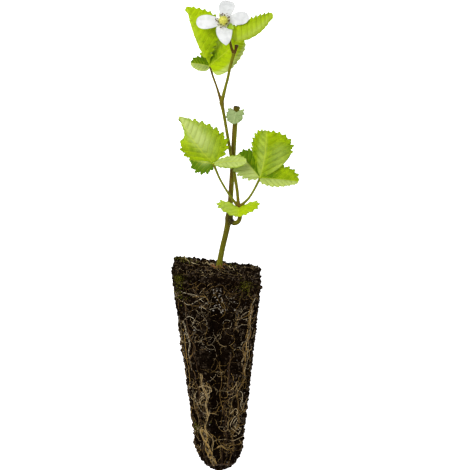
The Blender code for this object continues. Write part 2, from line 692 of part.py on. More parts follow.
def single_leaves(group):
    """The leaf under the side shoot, the bract under the flower and the cane's last leaf."""
    single_leaf("leaf_low", group, base=(13.0, -6.3, 38.4), tip=(12.4, -14.6, 34.6), face=(0.0, -0.4, 1.0),
                wide=(12.2, 12.8), widest=(0.4, 0.4), blunt=(0.5, 0.5), fold=(20.0, 14.0), heart=0.45,
                arch=0.08, curl=0.2, teeth=8, tooth=1.3, wave=0.4)
    single_leaf("leaf_bract", group, base=(11.3, -7.2, 135.2), tip=(31.8, -9.0, 149.6),
                face=(0.0, -1.0, 0.1), wide=(9.0, 6.0), widest=(0.45, 0.5), blunt=(0.5, 0.6),
                fold=(6.0, -88.0), sway=0.11, teeth=10, tooth=1.2, wave=0.3)
    single_leaf("leaf_cane_top", group, "grey_leaf", base=(11.2, -1.9, 93.6), tip=(9.6, -5.8, 87.6),
                face=(-0.1, -0.8, 0.6), wide=(5.6, 5.8), widest=(0.4, 0.4), blunt=(0.4, 0.4),
                fold=(24.0, 20.0), heart=0.5, curl=0.1, teeth=6, tooth=1.0, wave=0.6)


def flower(group):
    """The calyx, the four petals, the carpels and the stamens."""
    calyx(group)
    petal("petal_top", group, 79.0, 13.2, -4.6, 4.7, arch=0.08)
    petal("petal_left", group, 183.0, 15.4, 1.0, 4.2, arch=0.05)
    petal("petal_right", group, 9.0, 14.6, 2.2, 3.9)
    petal("petal_lower", group, 277.0, 14.4, 4.0, 4.7, widest=0.34, blunt=0.6, arch=0.0, fold=-6.0)
    carpels(group)
    stamens(group)


def build():
    group = new_collection(NAME)
    plug = soil_plug(group, new_collection("cutters"))
    root_net(group, plug)
    stem(group)
    single_leaves(group)
    leaf_left(group)
    leaf_right(group)
    leaf_top(group)
    flower(group)


def lay_down():
    """Turn the carrier so that the plug's back face lies level, at the row's origin."""
    turn = Matrix.Rotation(LEAN - math.pi / 2, 4, "X")
    rest = turn @ Vector((0.0, half_width(REST_DEPTH), -REST_DEPTH)) * MM
    CARRIER.matrix_world = Matrix.Translation(-rest) @ turn
    bpy.context.view_layer.update()


clear_scene()
CARRIER = bpy.data.objects.new("laid_down", None)
bpy.context.scene.collection.objects.link(CARRIER)
FLOWER_FRAME = flower_frame()
build()
lay_down()
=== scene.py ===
"""Looks of a flowering bramble that grows from a bare plug of soil and lies on its back.

Lengths are millimetres in the plant's own frame: the origin is the middle of the soil surface,
+X is to the right, +Y away from the viewer and +Z along the plant to the flower. LAID carries
a point from there to the row's metres.
"""
import logging
import math
import random
from dataclasses import dataclass, field, replace
from enum import Enum
from typing import Iterable, Optional, Sequence, Union

import bmesh
import bpy
import numpy as np
from bpy.types import Material, Mesh, Node, NodeSocket, NodeTree, Object
from mathutils import Matrix, Vector, noise
from mathutils.bvhtree import BVHTree


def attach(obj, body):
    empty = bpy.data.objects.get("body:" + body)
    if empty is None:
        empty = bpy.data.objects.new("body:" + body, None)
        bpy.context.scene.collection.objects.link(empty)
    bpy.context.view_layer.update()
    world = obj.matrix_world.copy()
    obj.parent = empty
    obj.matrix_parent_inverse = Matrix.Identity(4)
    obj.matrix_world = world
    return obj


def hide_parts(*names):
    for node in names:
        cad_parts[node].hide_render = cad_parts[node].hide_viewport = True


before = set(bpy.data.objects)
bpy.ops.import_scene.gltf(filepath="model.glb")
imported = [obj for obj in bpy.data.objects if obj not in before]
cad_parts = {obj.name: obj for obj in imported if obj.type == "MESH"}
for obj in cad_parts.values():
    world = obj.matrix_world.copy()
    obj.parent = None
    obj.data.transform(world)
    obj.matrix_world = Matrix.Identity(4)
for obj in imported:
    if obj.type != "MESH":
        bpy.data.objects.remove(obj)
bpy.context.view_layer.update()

LOG = logging.getLogger("bramble")
Point = tuple[float, float, float]
Colour = tuple[float, float, float]
Pair = tuple[float, float]
Knot = tuple[float, float, float, float]  # a point of a route with its radius
Marks = dict[str, np.ndarray]  # attributes of points, by name
Shell = tuple[np.ndarray, list, Marks]  # points, faces and marks
Spot = tuple[Point, float, float]  # a place with a size and a depth

MM = 0.001
PLUG_HALF = 26.0
SHOULDER_DEPTH = 107.0
SHOULDER_HALF = 13.9
REST_DEPTH = 6.0
LEAN = math.atan((PLUG_HALF - SHOULDER_HALF) / SHOULDER_DEPTH)


def laid_down() -> Matrix:
    """The matrix from the plant's own millimetres to the row's metres.

    Returns:
        A turn onto the plug's back face, with the row's origin on that face.
    """
    turn = Matrix.Rotation(LEAN - math.pi / 2, 4, "X")
    half = PLUG_HALF - REST_DEPTH * math.tan(LEAN)
    rest = turn @ Vector((0.0, half, -REST_DEPTH)) * MM
    return Matrix.Translation(-rest) @ turn @ Matrix.Scale(MM, 4)


LAID = laid_down()
TURNED = np.array(LAID.to_3x3()) / MM


def to_row(points: np.ndarray) -> np.ndarray:
    """Carry points from the plant's millimetres to the row's metres."""
    matrix = np.array(LAID)
    return points @ matrix[:3, :3].T + matrix[:3, 3]


def to_plant(points: np.ndarray) -> np.ndarray:
    """Carry points from the row's metres back to the plant's millimetres."""
    return (points - np.array(LAID.translation)) @ TURNED / MM


def blend(low: float, high: float, value: np.ndarray) -> np.ndarray:
    """A smooth step from 0 at low to 1 at high."""
    share = np.clip((value - low) / (high - low), 0.0, 1.0)
    return share * share * (3.0 - 2.0 * share)


def smooth_route(route: Sequence[Sequence[float]], step: float) -> np.ndarray:
    """Points of a smooth curve through a route's knots.

    Args:
        route: Knots of any number of values, of which the first ones are a place.
        step: The distance between two points.

    Returns:
        Rows of the same values.
    """
    ends = [route[0], *route, route[-1]]
    points: list[np.ndarray] = []
    for before, start, stop, after in zip(ends, ends[1:], ends[2:], ends[3:]):
        a, b, c, d = (np.array(knot, float) for knot in (before, start, stop, after))
        count = max(1, round(math.dist(start[:3], stop[:3]) / step))
        for i in range(count):
            t = i / count
            points.append(0.5 * (2 * b + (c - a) * t + (2 * a - 5 * b + 4 * c - d) * t ** 2
                                 + (3 * b - a - 3 * c + d) * t ** 3))
    return np.array(points + [np.array(route[-1], float)])


def rough(points: np.ndarray, size: float) -> np.ndarray:
    """Smooth noise from -1 to 1 at each point, with features of the given size."""
    flat = points.reshape(-1, 3) / size
    return np.array([noise.noise(Vector(place)) for place in flat]).reshape(points.shape[:-1])


# Node trees


class TreeBuilder:
    """The means to build a shader tree or a geometry tree."""

    def __init__(self, tree: NodeTree) -> None:
        """Work on a tree."""
        self.tree = tree

    def node(self, kind: str, settings: Optional[dict] = None,
             values: Optional[dict] = None) -> Node:
        """Add a node.

        Args:
            kind: The node's type.
            settings: Its own settings, which are made first.
            values: Values or links of its inputs, by name or index.

        Returns:
            The new node.
        """
        made = self.tree.nodes.new(kind)
        for key, value in (settings or {}).items():
            setattr(made, key, value)
        for key, value in (values or {}).items():
            self.feed(made.inputs[key], value)
        return made

    def feed(self, socket: NodeSocket, value: object) -> None:
        """Link a socket to a term or another socket, or give it a value.

        Args:
            socket: The input socket.
            value: A term, a socket, a colour or a plain value.
        """
        if isinstance(value, Term):
            value = value.socket
        if isinstance(value, NodeSocket):
            self.tree.links.new(value, socket)
        elif isinstance(value, tuple) and socket.type == "RGBA":
            socket.default_value = (*value[:3], 1.0)
        else:
            socket.default_value = value


class Term:
    """A value in a shader tree that takes part in Python expressions."""

    def __init__(self, look: "Look", socket: NodeSocket) -> None:
        """Wrap an output socket of the look's tree."""
        self.look = look
        self.socket = socket

    def __add__(self, other: "Number") -> "Term":
        """The sum of two values."""
        return self.look.maths("ADD", self, other)

    __radd__ = __add__

    def __sub__(self, other: "Number") -> "Term":
        """This value less another."""
        return self.look.maths("SUBTRACT", self, other)

    def __rsub__(self, other: "Number") -> "Term":
        """Another value less this one."""
        return self.look.maths("SUBTRACT", other, self)

    def __mul__(self, other: "Number") -> "Term":
        """The product of two values."""
        return self.look.maths("MULTIPLY", self, other)

    __rmul__ = __mul__

    def magnitude(self) -> "Term":
        """The value without its sign."""
        return self.look.maths("ABSOLUTE", self)

    def clamped(self) -> "Term":
        """The value kept between 0 and 1."""
        return self.look.maths("ADD", self, 0.0, clamp=True)

    def from_whole(self) -> "Term":
        """Distance to the nearest whole number, from 0 to 0.5."""
        return self.look.maths("PINGPONG", self, 0.5)

    def step(self, low: float, high: float) -> "Term":
        """A smooth step from 0 at low to 1 at high, also with low above high."""
        made = self.look.node("ShaderNodeMapRange", {"interpolation_type": "SMOOTHSTEP"},
                              {"Value": self, "From Min": low, "From Max": high})
        return Term(self.look, made.outputs["Result"])


Number = Union[float, Term]


class Look(TreeBuilder):
    """A material with a Principled BSDF, and the means to build its tree."""

    def __init__(self, name: str) -> None:
        """Start a material.

        Args:
            name: The finish's name.
        """
        self.material = bpy.data.materials.new(name)
        self.material.use_nodes = True
        super().__init__(self.material.node_tree)
        self.shader = self.tree.nodes["Principled BSDF"]
        place = self.node("ShaderNodeTexCoord")
        scaled = self.node("ShaderNodeVectorMath", {"operation": "SCALE"},
                           {0: place.outputs["Object"], "Scale": 1.0 / MM})
        self.place = scaled.outputs[0]

    def maths(self, operation: str, *terms: Number, clamp: bool = False) -> Term:
        """The result of an operation on some values, kept between 0 and 1 if asked."""
        made = self.node("ShaderNodeMath", {"operation": operation, "use_clamp": clamp},
                         dict(enumerate(terms)))
        return Term(self, made.outputs[0])

    def stretched(self, along: Point) -> NodeSocket:
        """The place in millimetres, with a factor on each of the row's axes."""
        made = self.node("ShaderNodeVectorMath", {"operation": "MULTIPLY"},
                         {0: self.place, 1: along})
        return made.outputs[0]

    def grain(self, size: float, detail: float = 2.0, rough: float = 0.5,
              place: Optional[NodeSocket] = None) -> Term:
        """Noise between 0 and 1 with features of a size in millimetres, and finer layers."""
        made = self.node("ShaderNodeTexNoise", None, {
            "Vector": self.place if place is None else place, "Scale": 1.0 / size,
            "Detail": detail, "Roughness": rough})
        return Term(self, made.outputs["Fac"])

    def cells(self, size: float, feature: str = "F1") -> Term:
        """Distance to the middle of a cell, or to its edge, as a share of the cells' size."""
        made = self.node("ShaderNodeTexVoronoi", {"feature": feature},
                         {"Vector": self.place, "Scale": 1.0 / size})
        return Term(self, made.outputs["Distance"])

    def mark(self, name: str) -> tuple[Term, Term, Term]:
        """The three values of one of the piece's own attributes."""
        read = self.node("ShaderNodeAttribute", {"attribute_name": name})
        split = self.node("ShaderNodeSeparateXYZ", None, {0: read.outputs["Vector"]})
        return tuple(Term(self, out) for out in split.outputs)

    def mix(self, share: Number, first: object, second: object) -> NodeSocket:
        """A colour between two, the first at a share of 0 and the second at 1."""
        made = self.node("ShaderNodeMix", {"data_type": "RGBA"}, {0: share, 6: first, 7: second})
        return made.outputs[2]

    def dress(self, colour: object, roughness: Number, height: Optional[Term] = None,
              relief: float = 0.1, **constants: object) -> Material:
        """Feed the shader.

        Args:
            colour: The base colour.
            roughness: The roughness.
            height: What the bump follows, if it has one.
            relief: The bump's height in millimetres for a height of 1.
            constants: Other sockets of the shader, with underscores for spaces.

        Returns:
            The finished material.
        """
        self.feed(self.shader.inputs["Base Color"], colour)
        self.feed(self.shader.inputs["Roughness"], roughness)
        if height is not None:
            bump = self.node("ShaderNodeBump", None, {
                "Height": height, "Strength": 1.0, "Distance": relief * MM})
            self.feed(self.shader.inputs["Normal"], bump.outputs["Normal"])
        for name, value in constants.items():
            self.feed(self.shader.inputs[name.replace("_", " ")], value)
        return self.material


# Finishes


@dataclass(frozen=True)
class SoilFinish:
    """Crumbly, nearly black peat with brown crumbs that are partly a painted highlight, painted shade
    that leaves the grooves blackest, and some moss.
    """

    name: str = "peat"
    black: Colour = (0.0020, 0.0008, 0.0003)
    dark: Colour = (0.0095, 0.0052, 0.0028)
    brown: Colour = (0.062, 0.042, 0.026)
    pale: Colour = (0.25, 0.21, 0.16)
    green: Colour = (0.150, 0.140, 0.010)

    def material(self) -> Material:
        """Make the material.

        Returns:
            The material.
        """
        look = Look(self.name)
        tone, _, _ = look.mark("tone")
        hollow, _, moss = look.mark("ground")
        patch = look.grain(7.0, 3.0, 0.6)
        fine = look.grain(0.6, 4.0, 0.75)
        colour = look.mix(fine.step(0.38, 0.68), self.black, self.dark)
        # Painted shade in the grooves: there the brown crumbs and pale flecks fade out and the peat
        # stays black.
        unshaded_soil = 1.0 - hollow * 0.92
        # Brown patches of crumbs, partly the peat's own brown and partly a painted highlight, kept
        # out of the grooves.
        lit = (tone * 0.30 + patch * 0.45 + fine * 0.95).step(0.80, 1.06) * unshaded_soil
        colour = look.mix(lit * 0.9, colour, self.brown)
        fleck = (tone * 0.22 + fine).step(0.76, 0.88) * unshaded_soil
        colour = look.mix(fleck * 0.85, colour, self.pale)
        growth = (moss * 0.8 + (patch - 0.5) * 1.0 + (fine - 0.5) * 3.4).step(0.68, 1.05)
        colour = look.mix(growth * 0.62, colour, self.green)
        return look.dress(colour, 0.62 + fine * 0.25, fine + look.cells(1.1) * -0.6, 0.55,
                          Specular_IOR_Level=0.0)


@dataclass(frozen=True)
class RootFinish:
    """Roots from pale cream to ochre and dark brown, by the piece's own tone, stained by soil."""

    name: str = "root_bark"
    pale: Colour = (0.58, 0.50, 0.34)
    ochre: Colour = (0.36, 0.22, 0.055)
    brown: Colour = (0.050, 0.024, 0.010)
    dirt: Colour = (0.020, 0.011, 0.006)

    def material(self) -> Material:
        """Make the material.

        Returns:
            The material.
        """
        look = Look(self.name)
        tone, stain, _ = look.mark("tone")
        patch = look.grain(3.0, 3.0, 0.6)
        colour = look.mix((tone * 2.0 + (patch - 0.5) * 0.5).clamped(), self.pale, self.ochre)
        colour = look.mix((tone * 2.0 - 1.0 + (patch - 0.5) * 0.6).clamped(), colour, self.brown)
        dirty = (look.grain(1.1, 3.0, 0.7) + (stain - 0.5)).step(0.42, 0.66)
        colour = look.mix(dirty * 0.88, colour, self.dirt)
        return look.dress(colour, 0.6, look.grain(0.35, 2.0), 0.12, Specular_IOR_Level=0.15)


@dataclass(frozen=True)
class StemFinish:
    """Young bark: green where it is new, brown with age, red and nearly black where marked, with
    painted light and shade across the cane.
    """

    name: str = "young_bark"
    green: Colour = (0.165, 0.182, 0.005)
    brown: Colour = (0.056, 0.034, 0.004)
    red: Colour = (0.105, 0.024, 0.006)
    dark: Colour = (0.010, 0.004, 0.003)
    speck: Colour = (0.34, 0.31, 0.05)

    def material(self) -> Material:
        """Make the material.

        Returns:
            The material.
        """
        look = Look(self.name)
        age, blush, scar = look.mark("growth")
        streak = look.grain(0.45, 3.0, 0.6, look.stretched((1.0, 0.10, 1.0)))
        patch = look.grain(3.0, 2.0)
        colour = look.mix((age + (streak - 0.5) * 0.9 + (patch - 0.5) * 0.3).clamped(),
                          self.green, self.brown)
        colour = look.mix((blush + (patch - 0.5) * blush).clamped() * 0.9, colour, self.red)
        colour = look.mix(scar.clamped(), colour, self.dark)
        colour = look.mix(look.cells(1.0).step(0.13, 0.06) * 0.3, colour, self.speck)
        return look.dress(colour, 0.45 + streak * 0.2, streak, 0.14, Specular_IOR_Level=0.06)


@dataclass(frozen=True)
class LeafFinish:
    """A quilted leaf: bright above, paler below, with light veins, a soft painted pale sheen and
    painted shade in the fine vein net and along the margin.
    """

    name: str = "leaf"
    bright: Colour = (0.370, 0.510, 0.003)
    deep: Colour = (0.080, 0.168, 0.002)
    pale: Colour = (0.450, 0.550, 0.150)
    below: Colour = (0.450, 0.550, 0.130)
    vein: Colour = (0.52, 0.60, 0.04)

    def material(self) -> Material:
        """Make the material.

        Returns:
            The material.
        """
        look = Look(self.name)
        across, rib, _ = look.mark("blade")
        reach, spacing, upper = look.mark("size")
        tone_and_shade, sheen, hem = look.mark("tint")
        patch = look.grain(4.5, 3.0, 0.6)
        fine = look.grain(0.8, 3.0, 0.65)
        wander = (look.grain(2.2, 2.0) - 0.5) * 0.5
        lateral = (rib.from_whole() * spacing + wander).magnitude()
        vein = lateral.step(0.30, 0.06)
        midrib = reach.step(0.50, 0.16)
        veins = look.maths("MAXIMUM", vein * across.magnitude().step(1.0, 0.7) * 0.7, midrib)
        net = look.cells(1.0, "DISTANCE_TO_EDGE").step(0.14, 0.0)
        body = tone_and_shade + (patch - 0.5) * 1.4 + (fine - 0.5) * 0.7
        # Darker between the side veins, and painted shade in the creases of the fine vein net.
        body = body - lateral.step(0.15, 0.9) * 0.18 - net * 0.14
        above = look.mix(body.clamped(), self.deep, self.bright)
        # Painted sheen: a pale reflection painted over parts of the upper side.
        glow = (sheen * (1.0 + (patch - 0.5) * 0.9 + (fine - 0.5) * 0.4)).clamped()
        above = look.mix(glow, above, self.pale)
        above = look.mix((veins * 0.42).clamped(), above, self.vein)
        above = look.mix(hem, above, self.below)
        under = look.mix((veins * 0.6 + (patch - 0.5) * 0.5).clamped(), self.below, self.pale)
        colour = look.mix(upper, under, above)
        # Painted shade along the margin: darkened towards the deep green, except where a curled
        # margin shows its underside.
        rim = across.magnitude().step(0.93, 1.0)
        colour = look.mix(rim * (1.0 - hem) * 0.55, colour, self.deep)
        height = fine * 0.35 - net * 0.3 - vein * 0.7
        return look.dress(colour, 0.56 + (fine - 0.5) * 0.2, height, 0.3,
                          Specular_IOR_Level=0.03)


@dataclass(frozen=True)
class PetalFinish:
    """A thin white petal with faint veins and painted grey shade, set by petal and in soft clouds,
    greyer at its margin and greenish at its claw.
    """

    name: str = "petal"
    white: Colour = (0.755, 0.765, 0.755)
    grey: Colour = (0.50, 0.51, 0.51)
    claw: Colour = (0.60, 0.64, 0.40)

    def material(self) -> Material:
        """Make the material.

        Returns:
            The material.
        """
        look = Look(self.name)
        across, _, along = look.mark("blade")
        shade, _, _ = look.mark("tint")
        fibre = (across * 9.0 + look.grain(2.5, 2.0)).from_whole().step(0.34, 0.04)
        # Painted shade: soft grey clouds and each petal's own grey, from its tint, mixed over the
        # white.
        cloud = look.grain(2.6, 3.0, 0.6).step(0.42, 0.68)
        colour = look.mix((shade + fibre * 0.07 + cloud * 0.34).clamped(), self.white, self.grey)
        rim = across.magnitude().step(0.86, 1.0)
        colour = look.mix(rim * 0.25, colour, self.grey)
        colour = look.mix(along.step(0.16, 0.0) * 0.8, colour, self.claw)
        height = fibre * 0.4 + look.grain(0.7, 2.0) * 0.6
        return look.dress(colour, 0.6, height, 0.12, Specular_IOR_Level=0.05)


@dataclass(frozen=True)
class PlainFinish:
    """A small part's finish: two colours mixed by noise, over a fine relief.

    Attributes:
        name: The finish's name.
        first: One colour.
        second: The other.
        size: The size of its patches in millimetres.
        roughness: Its roughness.
        relief: The relief's height in millimetres.
    """

    name: str
    first: Colour
    second: Colour
    size: float = 1.0
    roughness: float = 0.6
    relief: float = 0.08

    def material(self) -> Material:
        """Make the material.

        Returns:
            The material.
        """
        look = Look(self.name)
        tone, _, _ = look.mark("tone")
        patch = look.grain(self.size, 3.0, 0.6)
        share = (patch.step(0.3, 0.7) * 0.6 + tone * 0.8 - 0.25).clamped()
        return look.dress(look.mix(share, self.first, self.second), self.roughness,
                          look.grain(self.size / 3.0, 2.0), self.relief, Specular_IOR_Level=0.1)


class Small(Enum):
    """Finishes of the small parts."""

    SEPAL = PlainFinish("downy_sepal", (0.20, 0.36, 0.010), (0.42, 0.56, 0.05), 0.9, 0.75)
    FILAMENT = PlainFinish("filament", (0.55, 0.58, 0.18), (0.78, 0.76, 0.52), 0.8, 0.5, 0.03)
    ANTHER = PlainFinish("anther", (0.024, 0.010, 0.006), (0.16, 0.075, 0.02), 0.4, 0.7)
    DRUPELET = PlainFinish("drupelet", (0.48, 0.50, 0.03), (0.84, 0.80, 0.22), 0.6, 0.4, 0.04)
    STYLE = PlainFinish("style", (0.62, 0.58, 0.06), (0.86, 0.80, 0.30), 0.5, 0.5, 0.02)
    SPECK = PlainFinish("pale_grit", (0.12, 0.098, 0.075), (0.50, 0.46, 0.40), 0.5, 0.8, 0.15)
    STRAW = PlainFinish("straw", (0.12, 0.070, 0.022), (0.56, 0.46, 0.24), 1.2, 0.6)
    STIPULE = PlainFinish("stipule", (0.12, 0.045, 0.014), (0.32, 0.17, 0.06), 0.8, 0.65)
    MOSS = PlainFinish("moss", (0.020, 0.022, 0.003), (0.24, 0.25, 0.015), 0.9, 0.7)
    HAIR = PlainFinish("stem_hair", (0.30, 0.34, 0.10), (0.50, 0.46, 0.24), 2.0, 0.6, 0.01)

    def material(self) -> Material:
        """Make the finish's material."""
        return self.value.material()


# Trees of geometry nodes


class GrowthTree(TreeBuilder):
    """A Geometry Nodes tree and the means to build it."""

    def __init__(self, name: str, **inputs: str) -> None:
        """Start a tree with a geometry input and output, and named inputs.

        Args:
            name: The tree's name.
            inputs: The kind of each further input, by its name.
        """
        super().__init__(bpy.data.node_groups.new(name, "GeometryNodeTree"))
        for label, kind in {"Geometry": "Geometry", **inputs, "Material": "Material"}.items():
            self.tree.interface.new_socket(label, in_out="INPUT", socket_type="NodeSocket" + kind)
        self.tree.interface.new_socket("Geometry", in_out="OUTPUT", socket_type="NodeSocketGeometry")
        self.entry = self.tree.nodes.new("NodeGroupInput")
        self.exit = self.tree.nodes.new("NodeGroupOutput")

    def chance(self, low: float, high: float, seed: int) -> NodeSocket:
        """A random number for each point."""
        return self.node("FunctionNodeRandomValue", {"data_type": "FLOAT"},
                         {2: low, 3: high, "Seed": seed}).outputs[1]

    def toned(self, copies: NodeSocket) -> NodeSocket:
        """The copies, each with a random tone between 0 and 1."""
        made = self.node("GeometryNodeStoreNamedAttribute", {
            "data_type": "FLOAT_VECTOR", "domain": "INSTANCE"}, {
            "Geometry": copies, "Name": "tone", "Value": self.chance(0.0, 1.0, 5)})
        return made.outputs[0]

    def planted(self, points: NodeSocket, grain: Node, turn: Node, size: NodeSocket) -> NodeTree:
        """End the tree with a grain on each point, in a random tone.

        Args:
            points: The points.
            grain: The node of the grain's mesh.
            turn: The node of each grain's rotation.
            size: Each grain's scale.

        Returns:
            The tree.
        """
        placed = self.node("GeometryNodeInstanceOnPoints", None, {
            "Points": points, "Instance": grain.outputs["Mesh"], "Rotation": turn.outputs[0],
            "Scale": size})
        return self.close(self.toned(placed.outputs[0]))

    def close(self, geometry: NodeSocket) -> NodeTree:
        """Shade the result smooth, make it real, give it the material and end the tree.

        Args:
            geometry: The result.

        Returns:
            The tree.
        """
        soft = self.node("GeometryNodeSetShadeSmooth", None, {"Geometry": geometry})
        real = self.node("GeometryNodeRealizeInstances", None, {"Geometry": soft.outputs[0]})
        dressed = self.node("GeometryNodeSetMaterial", None, {
            "Geometry": real.outputs[0], "Material": self.entry.outputs["Material"]})
        self.tree.links.new(dressed.outputs[0], self.exit.inputs[0])
        return self.tree


def strand_tree() -> NodeTree:
    """A tree that turns the edges of a mesh into tubes with the mesh's own thickness.

    Returns:
        The tree, with the inputs Sides and Material.
    """
    growth = GrowthTree("strands", Sides="Int")
    thick = growth.node("GeometryNodeInputNamedAttribute", {"data_type": "FLOAT"},
                        {"Name": "thickness"})
    curve = growth.node("GeometryNodeMeshToCurve", None, {"Mesh": growth.entry.outputs[0]})
    ring = growth.node("GeometryNodeCurvePrimitiveCircle", None, {
        "Resolution": growth.entry.outputs["Sides"], "Radius": 1.0})
    tube = growth.node("GeometryNodeCurveToMesh", None, {
        "Curve": curve.outputs[0], "Profile Curve": ring.outputs[0],
        "Scale": thick.outputs[0], "Fill Caps": True})
    return growth.close(tube.outputs[0])


def scatter_tree() -> NodeTree:
    """A tree that scatters grains over a surface, each turned and sized at random.

    Returns:
        The tree, with the inputs Density, Smallest, Largest, Seed and Material.
    """
    growth = GrowthTree("scatter", Density="Float", Smallest="Float", Largest="Float", Seed="Int")
    ins = growth.entry.outputs
    spread = growth.node("GeometryNodeDistributePointsOnFaces", None, {
        "Mesh": ins[0], "Density": ins["Density"], "Seed": ins["Seed"]})
    ball = growth.node("GeometryNodeMeshIcoSphere", None, {"Radius": 1.0, "Subdivisions": 1})
    turn = growth.node("FunctionNodeRandomValue", {"data_type": "FLOAT_VECTOR"}, {
        "Min": (0.0, 0.0, 0.0), "Max": (math.tau, math.tau, math.tau), "Seed": ins["Seed"]})
    squash = growth.node("FunctionNodeRandomValue", {"data_type": "FLOAT_VECTOR"}, {
        "Min": (0.6, 0.5, 0.5), "Max": (1.4, 1.0, 1.0), "Seed": ins["Seed"]})
    skewed = growth.node("ShaderNodeMath", {"operation": "POWER"},
                         {0: growth.chance(0.0, 1.0, 2), 1: 2.0})
    radius = growth.node("ShaderNodeMapRange", None, {
        "Value": skewed.outputs[0], "To Min": ins["Smallest"], "To Max": ins["Largest"]})
    size = growth.node("ShaderNodeVectorMath", {"operation": "SCALE"}, {
        0: squash.outputs[0], "Scale": radius.outputs[0]})
    return growth.planted(spread.outputs["Points"], ball, turn, size.outputs[0])


def stud_tree() -> NodeTree:
    """A tree that puts a rounded grain on each point of a mesh, along the point's own axis.

    Returns:
        The tree, with the inputs Size, Subdivisions and Material.
    """
    growth = GrowthTree("studs", Size="Vector", Subdivisions="Int")
    ins = growth.entry.outputs
    ball = growth.node("GeometryNodeMeshIcoSphere", None, {
        "Radius": 1.0, "Subdivisions": ins["Subdivisions"]})
    axis = growth.node("GeometryNodeInputNamedAttribute", {"data_type": "FLOAT_VECTOR"},
                       {"Name": "axis"})
    turn = growth.node("FunctionNodeAlignRotationToVector", {"axis": "Z"},
                       {"Vector": axis.outputs[0]})
    size = growth.node("ShaderNodeVectorMath", {"operation": "SCALE"}, {
        0: ins["Size"], "Scale": growth.chance(0.75, 1.25, 3)})
    return growth.planted(ins[0], ball, turn, size.outputs[0])


def hair_tree() -> NodeTree:
    """A tree that stands short tapering hairs on a surface, each leaning its own way.

    Returns:
        The tree, with the inputs Density, Length, Thickness and Material.
    """
    growth = GrowthTree("hairs", Density="Float", Length="Float", Thickness="Float")
    ins = growth.entry.outputs
    spread = growth.node("GeometryNodeDistributePointsOnFaces", None, {
        "Mesh": ins[0], "Density": ins["Density"], "Seed": 6})
    hair = growth.node("GeometryNodeMeshCone", None, {
        "Vertices": 3, "Radius Top": 0.0, "Radius Bottom": ins["Thickness"],
        "Depth": ins["Length"]})
    lean = growth.node("FunctionNodeRandomValue", {"data_type": "FLOAT_VECTOR"}, {
        "Min": (-0.5, -0.5, -3.0), "Max": (0.5, 0.5, 3.0), "Seed": 9})
    leaning = growth.node("FunctionNodeRotateRotation", {"rotation_space": "LOCAL"}, {
        0: spread.outputs["Rotation"], 1: lean.outputs[0]})
    return growth.planted(spread.outputs["Points"], hair, leaning, growth.chance(0.5, 1.0, 4))


@dataclass(frozen=True)
class Trees:
    """The geometry trees that the pieces share."""

    strand: NodeTree
    scatter: NodeTree
    stud: NodeTree
    hair: NodeTree


# Meshes


def add_marks(mesh: Mesh, marks: Marks) -> None:
    """Give a mesh's points named attributes.

    Args:
        mesh: The mesh.
        marks: Arrays of one or three values for each point, by attribute name.
    """
    for name, values in marks.items():
        kind = "FLOAT" if values.ndim == 1 else "FLOAT_VECTOR"
        made = mesh.attributes.new(name, kind, "POINT")
        made.data.foreach_set("value" if kind == "FLOAT" else "vector",
                              values.astype(np.float32).ravel())


def link(name: str, mesh: Mesh) -> Object:
    """Put a mesh into the scene as an object at the origin."""
    made = bpy.data.objects.new(name, mesh)
    bpy.context.scene.collection.objects.link(made)
    return made


def new_piece(name: str, points: np.ndarray, faces: Sequence[Sequence[int]],
              material: Optional[Material] = None, marks: Optional[Marks] = None,
              edges: Sequence[Sequence[int]] = ()) -> Object:
    """Make an object from points in the plant's millimetres.

    Args:
        name: The piece's name.
        points: Rows of x, y and z.
        faces: Corners of each face.
        material: Its material.
        marks: Attributes of its points.
        edges: Ends of each loose edge.

    Returns:
        The new object, at the origin, with its place in its mesh.
    """
    mesh = bpy.data.meshes.new(name)
    mesh.from_pydata(to_row(points).tolist(), [tuple(e) for e in edges],
                     [tuple(f) for f in faces])
    add_marks(mesh, marks or {})
    mesh.shade_smooth()
    if material is not None:
        mesh.materials.append(material)
    return link(name, mesh)


def settle(target: Object) -> Object:
    """Swap in an object's evaluated mesh and drop its modifiers.

    Args:
        target: The object.

    Returns:
        The same object.
    """
    seen = target.evaluated_get(bpy.context.evaluated_depsgraph_get())
    mesh = bpy.data.meshes.new_from_object(seen)
    target.modifiers.clear()
    target.data = mesh
    return target


def grow(target: Object, tree: NodeTree, **values: object) -> Object:
    """Run a geometry tree on an object and keep its result as a plain mesh.

    Args:
        target: The object.
        tree: The tree.
        values: The tree's inputs by name.

    Returns:
        The same object.
    """
    modifier = target.modifiers.new("growth", "NODES")
    modifier.node_group = tree
    sockets = {item.name: item.identifier for item in tree.interface.items_tree
               if item.in_out == "INPUT"}
    for name, value in values.items():
        modifier[sockets[name]] = value
    return settle(target)


def strands(name: str, routes: Sequence[np.ndarray], tree: NodeTree, material: Material,
            sides: int = 5, tones: Optional[Sequence[Point]] = None) -> Object:
    """Tubes along routes, as one piece.

    Args:
        name: The piece's name.
        routes: Arrays of x, y, z and radius in the plant's millimetres.
        tree: The strand tree.
        material: The tubes' material.
        sides: How many sides a tube has.
        tones: The tone attribute of each route.

    Returns:
        The piece.
    """
    points = np.concatenate([route[:, :3] for route in routes])
    radii = np.concatenate([route[:, 3] for route in routes]) * MM
    edges, start = [], 0
    for route in routes:
        edges += [(start + i, start + i + 1) for i in range(len(route) - 1)]
        start += len(route)
    tones = tones or [(0.5, 0.0, 0.0)] * len(routes)
    tone = np.concatenate([np.tile(value, (len(route), 1)) for value, route in zip(tones, routes)])
    holder = new_piece(name, points, [], None, {"thickness": radii, "tone": tone}, edges)
    return grow(holder, tree, Sides=sides, Material=material)


